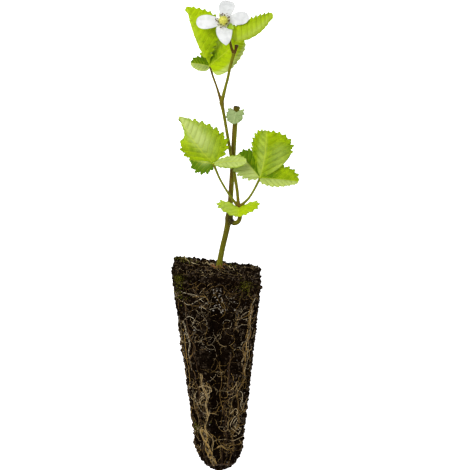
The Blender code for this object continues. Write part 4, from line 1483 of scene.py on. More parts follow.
@dataclass
class Flower:
    """The cup with its sepals, the petals, the stamens and the carpels.

    Attributes:
        petal_material: The petals' material.
        trees: The geometry trees.
        middle: The middle of the cup's rim.
        faces: The way the flower looks.
        cup_radius: The cup's radius at its rim, cup_foot at its foot.
        cup_depth: Its depth, cup_sides how many sides it has.
        down_length: A hair's length on the sepals, down_radius its radius, down_density its
            number on a square metre.
        petal_start: How far from the axis a petal starts, petal_level how high.
        sepals: Angle, reach and level of each sepal's tip.
        stamen_count: How many stamens there are.
        filament_radius: A filament's radius.
        anther_size: Half sizes of an anther, drupelet_size of a drupelet.
        dome: The radius of the dome of carpels, dome_level the height of its middle.
        carpel_count: How many drupelets it has.
        own: The matrix from the flower's own frame to the plant's.
    """

    petal_material: Material
    trees: Trees
    middle: Point = (4.1, -7.6, 146.2)
    faces: Point = (-0.04, -0.96, 0.27)
    cup_radius: float = 2.8
    cup_foot: float = 1.2
    cup_depth: float = 3.0
    cup_sides: int = 40
    down_length: float = 0.5
    down_radius: float = 0.05
    down_density: float = 1.6e6
    petal_start: float = 1.7
    petal_level: float = 0.65
    sepals: tuple[Point, ...] = (
        (30.0, 7.6, -3.4), (102.0, 7.6, -3.4), (174.0, 7.6, -3.4), (246.0, 7.6, -3.4),
        (322.0, 7.6, 2.6),
    )
    stamen_count: int = 38
    filament_radius: float = 0.1
    anther_size: Point = (0.30, 0.24, 0.44)
    drupelet_size: Point = (0.46, 0.46, 0.6)
    dome: float = 2.1
    dome_level: float = 3.2
    carpel_count: int = 46
    own: Matrix = field(init=False)

    def __post_init__(self) -> None:
        """Work out the flower's own frame."""
        out = Vector(self.faces).normalized()
        right = Vector((0.0, 0.0, 1.0)).cross(out).normalized()
        axes = Matrix((right, out.cross(right), out)).transposed().to_4x4()
        self.own = Matrix.Translation(self.middle) @ axes

    def around(self, angle: float, radius: float, level: float) -> Point:
        """A point at an angle in degrees, a radius and a level of the flower."""
        turn = math.radians(angle)
        place = Vector((radius * math.cos(turn), radius * math.sin(turn), level))
        return tuple(self.own @ place)

    def petal(self, node: str, angle: float, reach: float, lift: float, wide: Pair,
              shade: float, **shape: object) -> None:
        """One petal, which stands for its CAD node.

        Args:
            node: The CAD node.
            angle: Its direction in degrees.
            reach: How far it reaches from the flower's axis.
            lift: How far its tip rises.
            wide: Its half widths.
            shade: How grey it is, as painted shade.
            shape: Other fields of its blade.
        """
        settings = dict(widest=(0.62, 0.62), blunt=(0.42, 0.42), arch=0.02, fold=(8.0, 8.0))
        settings.update(shape)
        blade = Blade(
            self.around(angle, self.petal_start, self.petal_level),
            self.around(angle, reach, self.petal_level + lift), self.faces, wide, curl=0.5,
            teeth=6, tooth=(0.0, 0.0), wave=0.35, turns=2.2, neck=0.9, veins=5.0, pleat=0.0,
            crumple=0.42, tone_and_shade=shade, thickness=0.28, **settings)
        points, faces, marks = blade.shell(64, 14)
        keep(new_piece(node + "_fine", points, faces, self.petal_material, marks), "petal", node)

    def petals(self) -> None:
        """The four petals."""
        # Painted shade: the top petal is painted greyest and the left one palest.
        self.petal("petal_top", 79.0, 13.2, -4.6, (4.7, 4.7), 0.50, arch=0.08)
        self.petal("petal_left", 183.0, 15.4, 1.0, (4.1, 4.1), 0.10, arch=0.05)
        self.petal("petal_right", 9.0, 14.6, 2.2, (3.9, 3.7), 0.35)
        self.petal("petal_lower", 277.0, 14.4, 4.0, (4.4, 4.9), 0.22, widest=(0.28, 0.28),
                   blunt=(0.62, 0.8), arch=0.0, fold=(-6.0, -6.0))

    def calyx(self) -> None:
        """The rounded cup and its downy sepals."""
        rings = [(0.6, -self.cup_depth), (self.cup_foot, -self.cup_depth + 0.3),
                 (2.2, -1.6), (self.cup_radius, -0.6), (self.cup_radius, 0.0), (2.3, 0.05),
                 (1.2, -0.1)]
        sides = self.cup_sides
        last = (len(rings) - 1) * sides
        points = [self.around(360.0 * i / sides, radius, level)
                  for radius, level in rings for i in range(sides)]
        faces = [[low + i, low + (i + 1) % sides, low + sides + (i + 1) % sides, low + sides + i]
                 for low in range(0, last, sides) for i in range(sides)]
        faces += [list(range(sides))[::-1], list(range(last, last + sides))]
        shells = [Blade(self.around(angle, 1.4, -1.0), self.around(angle, reach, level), self.faces,
                        (1.8, 1.8), (0.42, 0.42), (0.8, 0.8), (12.0, 12.0), arch=0.08, teeth=3,
                        tooth=(0.0, 0.0), veins=3.0, pleat=0.1, crumple=0.15,
                        thickness=0.45).shell(24, 6) for angle, reach, level in self.sepals]
        points, faces, _ = joined([(np.array(points), faces, {}), *shells])
        tone = np.full((len(points), 3), 0.5)
        piece = new_piece("calyx_fine", points, faces, Small.SEPAL.material(), {"tone": tone})
        keep(piece, "sepal", "calyx")
        down = link("sepal_down", piece.data.copy())
        grow(down, self.trees.hair, Density=self.down_density, Length=self.down_length * MM,
             Thickness=self.down_radius * MM, Material=Small.HAIR.material())
        keep(down, "sepal")

    def stamens(self) -> None:
        """Bent filaments that rise from one ring, each with its anther."""
        draw = random.Random(11)
        routes, tops, axes = [], [], []
        for i in range(self.stamen_count):
            angle = 360.0 * i / self.stamen_count + draw.uniform(-9.0, 9.0)
            reach, level = draw.uniform(2.6, 4.3), draw.uniform(3.4, 5.6)
            knots = [self.around(angle, 2.7, 2.0),
                     self.around(angle + draw.uniform(-12.0, 12.0), 0.5 * (2.9 + reach), 3.2),
                     self.around(angle + draw.uniform(-14.0, 14.0), reach, level)]
            routes.append(smooth_route([(*knot, self.filament_radius) for knot in knots], 0.5))
            tops.append(knots[-1])
            axes.append(np.array(knots[-1]) - np.array(knots[-2]) + draw.uniform(-0.6, 0.6))
        routes.append(np.array([(*self.around(12.0 * i, 2.75, 2.0), 0.32) for i in range(31)]))
        filaments = strands("filaments", routes, self.trees.strand,
                            Small.FILAMENT.material(), 6)
        keep(filaments, "anther", "stamens")
        anthers = studs("anthers", tops, axes, self.trees.stud, Small.ANTHER, self.anther_size)
        keep(anthers, "anther")

    def carpels(self) -> None:
        """A dome of drupelets, each with its style."""
        golden = math.pi * (3.0 - math.sqrt(5.0))
        places, axes, styles = [], [], []
        for i in range(self.carpel_count):
            rise = 1.0 - 1.35 * (i + 0.5) / self.carpel_count
            ring = math.sqrt(max(0.0, 1.0 - rise * rise))
            way = np.array([ring * math.cos(golden * i), ring * math.sin(golden * i), rise])
            place = way * (self.dome - 0.25) + np.array([0.0, 0.0, self.dome_level])
            tip = way * (self.dome + 0.75) + np.array([0.0, 0.0, self.dome_level + 0.35])
            here, there = (self.own @ Vector(spot) for spot in (place, tip))
            places.append(tuple(here))
            axes.append(np.array(there - here))
            if rise > -0.1:
                styles.append(np.array([(*here, 0.11), (*here.lerp(there, 0.6), 0.08),
                                        (*there, 0.12)]))
        low, high = self.around(0.0, 0.0, 0.3), self.around(0.0, 0.0, self.dome_level)
        drupelets = studs("drupelets", places, axes, self.trees.stud, Small.DRUPELET,
                          self.drupelet_size)
        keep(drupelets, "carpel", "carpels")
        styles.append(np.array([(*low, 1.3), (*high, 1.75)]))
        foot = strands("styles", styles, self.trees.strand, Small.STYLE.material(), 8)
        keep(foot, "carpel")

    def pedicel_end(self) -> tuple[Point, Point]:
        """Where the flower's stalk comes up to the cup, and where it ends in it."""
        return (self.around(0.0, 0.0, -self.cup_depth - 2.2),
                self.around(0.0, 0.0, -self.cup_depth + 0.4))

    def build(self) -> None:
        """Build the whole flower."""
        self.calyx()
        self.petals()
        self.stamens()
        self.carpels()


# Soil and roots


@dataclass
class Plug:
    """The block of peat with its crumbs.

    Attributes:
        material: The soil's material.
        trees: The geometry trees.
        cell: The size of the fine mesh's cells.
        lumps: Size and height of each layer of the relief.
        nose: Depths of the rounded nose, each with its half width.
        groove_lip: Half width of a groove at its lip, groove_floor at its floor.
        lip_share: The largest share of the half width that a lip takes.
        groove_starts: Depth where the grooves start, the back one second.
        bare_height: Height above the floor below which no crumb is laid.
        moss_spots: Where moss grows, as x, y and z with a radius.
    """

    material: Material
    trees: Trees
    cell: float = 0.8
    lumps: tuple[Pair, ...] = ((6.0, 0.5), (2.4, 0.9), (1.2, 0.5))
    nose: tuple[Pair, ...] = ((112.5, 12.1), (117.0, 9.7), (120.5, 6.4), (122.5, 3.2))
    groove_lip: float = 5.4
    groove_floor: float = 2.2
    lip_share: float = 0.42
    groove_starts: Pair = (6.0, 14.0)
    bare_height: float = 0.8
    moss_spots: tuple[Knot, ...] = (
        (-22.0, -26.0, 0.0, 5.0), (-20.0, 20.0, 2.0, 6.0), (-21.0, -26.0, -9.0, 3.4),
        (16.5, -26.0, -4.0, 5.0), (6.0, 12.0, 0.0, 4.0), (-12.5, -16.0, -92.0, 3.5),
    )

    def half_width(self, depth: Union[float, np.ndarray]) -> np.ndarray:
        """Half width of the plug at a depth below the soil surface."""
        profile = ((0.0, PLUG_HALF), (SHOULDER_DEPTH, SHOULDER_HALF), *self.nose)
        return np.interp(depth, *zip(*profile))

    def ground(self, places: np.ndarray) -> np.ndarray:
        """How hollow and how mossy the soil is; the hollow is turned into painted shade in the
        grooves.

        Args:
            places: Points in the plant's millimetres.

        Returns:
            Rows of the groove's depth, nothing, and the moss, from 0 to 1.
        """
        depth = -places[:, 2]
        half = self.half_width(depth)
        x, y = np.abs(places[:, 0]), np.abs(places[:, 1])
        across = np.where(y > x, x, y)
        start = np.where(places[:, 1] > x, self.groove_starts[1], self.groove_starts[0])
        lip = np.minimum(self.groove_lip, self.lip_share * half)
        reach = np.hypot(across, np.maximum(0.0, start + lip - depth))
        slope = 1.0 - self.groove_floor / self.groove_lip
        hollow = blend(0.0, 1.0, (lip + 0.8 - reach) / (lip * slope))
        hollow *= blend(118.0, 104.0, depth) * (depth > 2.0)
        moss = np.zeros(len(places))
        for x, y, z, radius in self.moss_spots:
            away = np.linalg.norm(places - np.array((x, y, z)), axis=1)
            moss = np.maximum(moss, np.exp(-(away / radius) ** 2))
        return np.stack([hollow, np.zeros(len(places)), moss], -1)

    def build(self) -> BVHTree:
        """Build the soil and its crumbs.

        Returns:
            The surface of the soil and its crumbs, for the roots to lie on.
        """
        piece = copy_of_node("soil", "soil_plug")
        cells = piece.modifiers.new("cells", "REMESH")
        cells.mode = "VOXEL"
        cells.voxel_size = self.cell * MM
        settle(piece)
        self.roughen(piece)
        keep(piece, "soil", "soil_plug")
        crumbs = self.crumbs(piece)
        merged = bmesh.new()
        for source in (piece, crumbs):
            merged.from_mesh(source.data)
        surface = BVHTree.FromBMesh(merged)
        merged.free()
        return surface

    def roughen(self, piece: Object) -> None:
        """Raise the relief of the soil, level where it lies.

        Args:
            piece: The soil.
        """
        mesh = piece.data
        places = coordinates(mesh)
        heights = sum(height * MM * rough(places, size * MM) for size, height in self.lumps)
        places += coordinates(mesh, "normal") * heights[:, None]
        mesh.vertices.foreach_set("co", places.astype(np.float32).ravel())
        above_floor(mesh)
        mesh.materials.append(self.material)
        mesh.shade_smooth()
        add_marks(mesh, {"tone": np.full((len(places), 3), 0.2),
                         "ground": self.ground(to_plant(places))})

    def crumbs(self, soil: Object) -> Object:
        """Scatter crumbs and pale grit over the soil.

        Args:
            soil: The soil.

        Returns:
            The larger crumbs.
        """
        bm = bmesh.new()
        bm.from_mesh(soil.data)
        bare = self.bare_height * MM
        low = [face for face in bm.faces if max(vert.co.z for vert in face.verts) < bare]
        bmesh.ops.delete(bm, geom=low, context="FACES")
        ground = bpy.data.meshes.new("open_ground")
        bm.to_mesh(ground)
        bm.free()
        pieces = []
        for name, density, small, large, finish, seed in (
                ("crumbs", 3.3e5, 0.40, 1.50, self.material, 4),
                ("fine_crumbs", 4.2e5, 0.22, 0.55, self.material, 9),
                ("grit", 2.2e4, 0.12, 0.45, Small.SPECK.material(), 21)):
            grains = link(name, ground.copy())
            grow(grains, self.trees.scatter, Density=density, Smallest=small * MM,
                 Largest=large * MM, Seed=seed, Material=finish)
            above_floor(grains.data)
            pieces.append(keep(grains, "soil"))
        return pieces[0]


@dataclass(frozen=True)
class RootGroup:
    """Roots that wander over one region of the plug.

    Attributes:
        count: How many there are.
        turns: The region round the plug, where a side counts as 1 from the front's left edge.
        depths: The region's depths.
        length: Shortest and longest.
        radius: Thinnest and thickest.
        tone: From 0 for cream through 0.5 for ochre to 1 for brown.
        curl: How fast they turn, in degrees for each millimetre.
        heading: Their first heading's spread from straight down, in degrees.
    """

    count: int
    turns: Pair
    depths: Pair
    length: Pair
    radius: Pair
    tone: Pair
    curl: float = 14.0
    heading: float = 60.0


@dataclass(frozen=True)
class SeenRoot:
    """A root that shows on the front of the plug.

    Attributes:
        knots: Points of x and depth on the front.
        radius: Its radius.
        tone: From 0 for cream through 0.5 for ochre to 1 for brown.
        count: How many strands run along it.
        stray: How far the strands stray from it.
    """

    knots: tuple[Pair, ...]
    radius: float
    tone: float
    count: int = 1
    stray: float = 0.4


FRONT_ROOTS = (
    SeenRoot(((19.9, 14.8), (19.0, 22.4), (18.0, 30.6), (17.2, 38.8), (17.0, 46.0), (16.4, 53.1),
              (15.9, 62.3)), 0.15, 0.7, 2),
    SeenRoot(((20.9, 18.3), (19.6, 24.5), (18.7, 32.7), (18.0, 40.8), (17.4, 50.0),
              (16.3, 60.3)), 0.13, 0.3, 2, 0.7),
    SeenRoot(((18.1, 36.7), (17.1, 42.9), (15.9, 51.1), (15.3, 60.3), (16.1, 67.4)), 0.12, 0.6),
    SeenRoot(((21.9, 9.1), (21.0, 14.8), (19.6, 18.9), (16.5, 20.8), (13.9, 22.8), (15.1, 24.6),
              (18.0, 23.7), (19.8, 22.8)), 0.15, 0.1),
    SeenRoot(((11.6, 29.6), (14.7, 27.5), (17.4, 27.5), (19.6, 26.0)), 0.13, 0.15),
    SeenRoot(((-19.6, 25.5), (-18.6, 29.6), (-17.1, 34.2), (-15.9, 39.8), (-16.3, 45.4),
              (-15.9, 50.0), (-14.9, 55.7)), 0.20, 0.1, 2),
    SeenRoot(((-21.3, 30.6), (-19.6, 35.2), (-18.6, 41.9), (-17.8, 50.0), (-16.9, 57.2),
              (-15.9, 66.4)), 0.16, 0.5),
    SeenRoot(((-20.8, 6.9), (-15.9, 8.6), (-11.5, 10.2), (-7.5, 13.7), (-4.9, 15.5)), 0.13, 0.05),
    SeenRoot(((-4.9, 13.2), (-6.6, 15.5), (-8.5, 18.5), (-7.8, 22.4), (-5.9, 25.5),
              (-5.3, 28.6)), 0.15, 0.0),
    SeenRoot(((-19.8, 13.2), (-15.9, 15.3), (-12.0, 13.2), (-8.8, 11.2), (-4.9, 10.2)), 0.12, 0.1),
    SeenRoot(((-18.8, 24.5), (-15.9, 22.9), (-12.9, 24.5), (-14.4, 27.5), (-12.0, 29.6),
              (-11.8, 32.7)), 0.15, 0.05),
    SeenRoot(((-7.8, 63.5), (-8.8, 66.4), (-6.5, 69.3), (-9.2, 71.5), (-7.4, 74.1), (-4.9, 73.0),
              (-6.1, 69.5)), 0.25, 0.26, 2),
    SeenRoot(((-11.4, 68.7), (-12.9, 72.0), (-12.5, 76.1), (-10.5, 80.2), (-7.4, 83.0),
              (-4.5, 82.6), (-4.3, 80.2)), 0.24, 0.24),
    SeenRoot(((-10.5, 66.4), (-8.0, 65.6), (-4.9, 66.4), (-4.1, 69.5), (-7.1, 71.5), (-9.5, 74.6),
              (-8.5, 77.7), (-5.6, 77.7)), 0.2, 0.32, 2, 0.9),
    SeenRoot(((-13.9, 71.5), (-13.3, 77.7), (-12.0, 82.8), (-11.0, 87.9), (-11.4, 93.0)), 0.16, 0.4),
    SeenRoot(((-7.1, 89.4), (-7.3, 93.5), (-6.7, 98.1), (-5.9, 102.2)), 0.22, 0.45),
    SeenRoot(((-9.4, 93.1), (-7.4, 98.1), (-6.3, 102.8), (-4.9, 107.8), (-2.8, 113.4),
              (-1.6, 118.4)), 0.28, 0.42, 7, 1.6),
    SeenRoot(((6.7, 69.5), (9.6, 66.4), (12.2, 62.8), (11.8, 67.4), (10.4, 71.5), (7.8, 75.1),
              (7.4, 80.2)), 0.17, 0.3, 2, 0.8),
    SeenRoot(((12.5, 68.4), (14.7, 69.5), (15.1, 73.6), (14.3, 77.7), (15.5, 81.7)), 0.15, 0.25),
    SeenRoot(((7.8, 83.8), (10.6, 80.2), (11.8, 82.8), (9.4, 86.9), (8.2, 90.9), (10.6, 94.0),
              (13.1, 96.1)), 0.17, 0.25),
    SeenRoot(((12.5, 85.8), (10.6, 88.9), (11.8, 93.0), (14.0, 92.0), (12.5, 96.1),
              (9.6, 98.1)), 0.15, 0.15, 2, 0.8),
    SeenRoot(((7.2, 85.8), (6.7, 90.9), (7.8, 96.1), (9.6, 101.2), (10.6, 105.3)), 0.17, 0.35),
    SeenRoot(((-0.2, 106.3), (2.7, 104.7), (5.9, 106.3), (8.6, 104.7)), 0.15, 0.45, 2, 0.8),
    SeenRoot(((1.8, 51.1), (2.5, 61.3), (1.8, 71.5), (2.9, 81.7), (2.3, 92.0)), 0.18, 0.85),
)
SIDE_ROOTS = (
    RootGroup(46, (0.0, 1.0), (5.0, 40.0), (5.0, 17.0), (0.05, 0.09), (0.0, 0.4), 17.0, 110.0),
    RootGroup(46, (0.0, 1.0), (1.5, 16.0), (5.0, 14.0), (0.06, 0.10), (0.60, 0.95), 21.0, 130.0),
    RootGroup(40, (0.0, 1.0), (55.0, 112.0), (6.0, 16.0), (0.06, 0.11), (0.15, 0.6), 25.0, 110.0),
    RootGroup(45, (0.0, 4.0), (8.0, 44.0), (6.0, 20.0), (0.06, 0.11), (0.0, 0.5), 16.0, 110.0),
    RootGroup(150, (0.0, 4.0), (3.0, 112.0), (6.0, 22.0), (0.06, 0.12), (0.6, 0.95), 17.0, 100.0),
    RootGroup(14, (0.12, 0.38), (60.0, 98.0), (8.0, 20.0), (0.07, 0.14), (0.2, 0.6), 26.0, 90.0),
    RootGroup(14, (0.64, 0.94), (58.0, 98.0), (8.0, 20.0), (0.07, 0.13), (0.3, 0.7), 26.0, 80.0),
    RootGroup(90, (1.0, 4.0), (20.0, 96.0), (16.0, 44.0), (0.08, 0.17), (0.2, 0.7), 12.0, 50.0),
    RootGroup(30, (0.0, 4.0), (4.0, 12.0), (6.0, 16.0), (0.07, 0.12), (0.55, 0.85), 12.0, 120.0),
)


@dataclass
class Roots:
    """The roots on the outside of the plug.

    Attributes:
        material: The roots' material.
        plug: The plug that they lie on.
        surface: Its surface with its crumbs.
        strand: The strand tree.
        long_roots: Turn and depth where a thick root starts, its drift and its radius.
        long_tones: The tone of each.
        link_roots: From one thick root and a share of its length to another, and its radius.
        strand_share: A strand's radius as a share of its thick root's.
        dark_tone: The tone of the links and of the ring at the nose.
        step: The distance between two points of a root.
        ring_depth: The depth of the ring.
        deepest: How deep a fine root goes.
    """

    material: Material
    plug: Plug
    surface: BVHTree
    strand: NodeTree
    strand_share: float = 0.34
    dark_tone: float = 0.98
    step: float = 0.9
    ring_depth: float = 117.5
    deepest: float = 120.0
    long_roots: tuple[Knot, ...] = (
        (0.12, 14.0, 0.10, 0.5), (0.26, 58.0, 0.14, 0.65), (0.70, 46.0, -0.08, 0.5),
        (0.94, 16.0, -0.12, 0.5), (1.28, 22.0, 0.08, 0.5), (1.74, 40.0, -0.10, 0.45),
        (2.50, 44.0, 0.0, 0.45), (3.26, 40.0, 0.10, 0.45), (3.74, 20.0, -0.10, 0.5),
    )
    long_tones: tuple[float, ...] = (0.9, 0.45, 1.0, 0.85, 0.6, 0.6, 0.7, 0.6, 0.7)
    link_roots: tuple[tuple[int, float, int, float, float], ...] = (
        (0, 0.15, 1, 0.30, 0.45), (0, 0.45, 1, 0.55, 0.4), (2, 0.10, 3, 0.55, 0.45),
        (2, 0.50, 3, 0.75, 0.4), (3, 0.20, 4, 0.40, 0.45), (4, 0.35, 5, 0.50, 0.4),
        (7, 0.25, 8, 0.45, 0.4), (8, 0.20, 0, 0.45, 0.45), (8, 0.60, 0, 0.75, 0.4),
    )

    def side_ray(self, turn: float, depth: float) -> tuple[Vector, Vector]:
        """A ray from outside the plug to its surface.

        Args:
            turn: Where it is round the plug, where a side counts as 1.
            depth: Its depth.

        Returns:
            Where it starts and the way in.
        """
        half = float(self.plug.half_width(depth))
        core = 0.7 * half
        out = Vector(((0.0, -1.0), (1.0, 0.0), (0.0, 1.0), (-1.0, 0.0))[int(turn % 4.0)])
        beside = Vector((-out.y, out.x))
        place = out * half + beside * half * (2.0 * (turn % 1.0) - 1.0)
        inner = Vector([min(core, max(-core, value)) for value in place])
        out = (place - inner).normalized()
        return Vector((*(place + out * 12.0), -depth)), Vector((*-out, 0.0))

    def drape(self, places: Sequence[Pair], radius: float) -> Optional[np.ndarray]:
        """Lay a root over the soil's crumbs, stretched across the hollows between them.

        Args:
            places: Its turns and depths.
            radius: Its radius.

        Returns:
            Rows of x, y, z and radius, or None if it leaves the soil.
        """
        rays, reaches = [], []
        for turn, depth in places:
            start, way = self.side_ray(turn, depth)
            seen = LAID.to_3x3() @ way
            hit, _, _, distance = self.surface.ray_cast(LAID @ start, seen.normalized())
            if hit is None:
                return None
            rays.append((start, way))
            reaches.append(distance / MM)
        reach = np.pad(np.array(reaches), 2, mode="edge")
        nearest = np.minimum(np.minimum(reach[1:-3], reach[2:-2]), reach[3:-1])
        level = 0.6 * nearest + 0.4 * (reach[:-4] + reach[4:] + reach[2:-2]) / 3.0
        rows = []
        for (start, way), depth in zip(rays, level):
            spot = LAID @ (start + way * (depth - 0.5 * radius))
            spot.z = max(spot.z, radius * MM)
            rows.append((*(LAID.inverted() @ spot), radius))
        return np.array(rows)

    def wander(self, group: RootGroup, draw: random.Random) -> list[Pair]:
        """The turns and depths of one root of a group.

        Args:
            group: The group.
            draw: Its random numbers.

        Returns:
            Its places, which end before the plug's nose.
        """
        turn, depth = draw.uniform(*group.turns), draw.uniform(*group.depths)
        heading = math.radians(draw.uniform(-group.heading, group.heading))
        bend, places = 0.0, []
        for _ in range(round(draw.uniform(*group.length) / self.step)):
            bend = 0.8 * bend + math.radians(draw.gauss(0.0, group.curl)) * 0.6
            heading = (heading + bend * self.step) * 0.985
            depth += math.cos(heading) * self.step
            turn += math.sin(heading) * self.step / (2.0 * float(self.plug.half_width(depth)))
            if not 1.0 < depth < self.deepest:
                break
            places.append((turn, depth))
        return places

    def winding(self, start: Pair, stop: Pair, bend: float, seed: int, step: float) -> list[Pair]:
        """The places that a thick root winds through, as its solid does.

        Args:
            start: Its first turn and depth.
            stop: Its last.
            bend: How far it winds to the side.
            seed: Which way it winds.
            step: The distance between two places.

        Returns:
            Turns and depths.
        """
        draw = random.Random(seed)
        first, second = draw.uniform(0.0, math.tau), draw.uniform(0.0, math.tau)
        across = 2.0 * float(self.plug.half_width(0.5 * (start[1] + stop[1])))
        reach = Vector(((stop[0] - start[0]) * across, stop[1] - start[1]))
        beside = Vector((-reach.y, reach.x)).normalized()
        count = max(4, round(reach.length / step))
        places = []
        for i in range(count + 1):
            t = i / count
            waves = (math.sin(first + reach.length * t / 4.5)
                     + 0.6 * math.sin(second + reach.length * t / 2.3))
            shift = beside * bend * min(1.0, 4.0 * t, 4.0 - 4.0 * t) * waves
            places.append((start[0] + (reach.x * t + shift.x) / across,
                           start[1] + reach.y * t + shift.y))
        return places

    def bundle(self, places: Sequence[Pair], radius: float, tone: float, count: int,
               stray: float, draw: random.Random) -> list[tuple[np.ndarray, Point]]:
        """Thin strands that run along one route.

        Args:
            places: The route's turns and depths.
            radius: A strand's radius.
            tone: Its tone.
            count: How many strands there are.
            stray: How far they stray from the route.
            draw: Random numbers.

        Returns:
            Each strand and its tone.
        """
        made = []
        for _ in range(count):
            phase, pace = draw.uniform(0.0, math.tau), draw.uniform(0.25, 0.5)
            strayed = []
            for i, (turn, depth) in enumerate(places):
                side = stray * math.sin(phase + pace * i)
                side += 0.25 * noise.noise(Vector((phase * 9.0, i * 0.45, 3.0)))
                down = 0.6 * stray * math.sin(1.7 * phase + 0.6 * pace * i)
                half = float(self.plug.half_width(depth))
                low = min(self.deepest - 1.0, depth + down)
                strayed.append((turn + side / (2.0 * half), low))
            strand = self.drape(strayed, radius * draw.uniform(0.75, 1.15))
            if strand is not None:
                strand[:, 3] *= 1.0 - 0.5 * np.linspace(0.0, 1.0, len(strand)) ** 3
                made.append((strand, (tone + draw.uniform(-0.1, 0.1), draw.uniform(0.35, 0.6), 0.0)))
        return made

    def net(self, draw: random.Random) -> list[tuple[np.ndarray, Point]]:
        """Strands along the thick roots, which are shown as the bundles that they are.

        Args:
            draw: Random numbers.

        Returns:
            Each strand and its tone.
        """
        made, runs = [], []
        for seed, (turn, depth, drift, radius) in enumerate(self.long_roots):
            places = self.winding((turn, depth), (turn + drift, self.ring_depth + 1.0), 1.3, seed,
                                  self.step)
            runs.append(places)
            made += self.bundle(places, self.strand_share * radius, self.long_tones[seed], 3,
                                0.8 * radius, draw)
        for seed, (first, begin, second, end, radius) in enumerate(self.link_roots):
            here, there = runs[first], runs[second]
            start = here[round(begin * (len(here) - 1))]
            stop = there[round(end * (len(there) - 1))]
            stop = (stop[0] + round((start[0] - stop[0]) / 4.0) * 4.0, stop[1])
            made += self.bundle(self.winding(start, stop, 2.0, seed + 50, self.step),
                                self.strand_share * radius, self.dark_tone, 1, 0.4 * radius, draw)
        ring = self.winding((0.0, self.ring_depth), (4.0, self.ring_depth), 0.4, 1, self.step)
        return made + self.bundle(ring, 0.2, self.dark_tone, 4, 1.2, draw)

    def build(self) -> None:
        """Build the net of thick roots, the roots that show on the front, and fine ones."""
        draw = random.Random(5)
        net = self.net(draw)
        piece = strands("root_net_fine", [route for route, _ in net], self.strand, self.material,
                        6, [tone for _, tone in net])
        keep(piece, "root", "root_net")
        fine = []
        for root in FRONT_ROOTS:
            knots = smooth_route(root.knots, self.step)
            places = [(min(0.995, 0.5 + x / (2.0 * float(self.plug.half_width(depth)))), depth)
                      for x, depth in knots]
            fine += self.bundle(places, root.radius, root.tone, root.count, root.stray, draw)
        for group in SIDE_ROOTS:
            for _ in range(group.count):
                places = self.wander(group, draw)
                if len(places) > 4:
                    fine += self.bundle(places, draw.uniform(*group.radius),
                                        draw.uniform(*group.tone), 1, 0.0, draw)
        piece = strands("fine_roots", [route for route, _ in fine], self.strand, self.material,
                        5, [tone for _, tone in fine])
        keep(piece, "root")


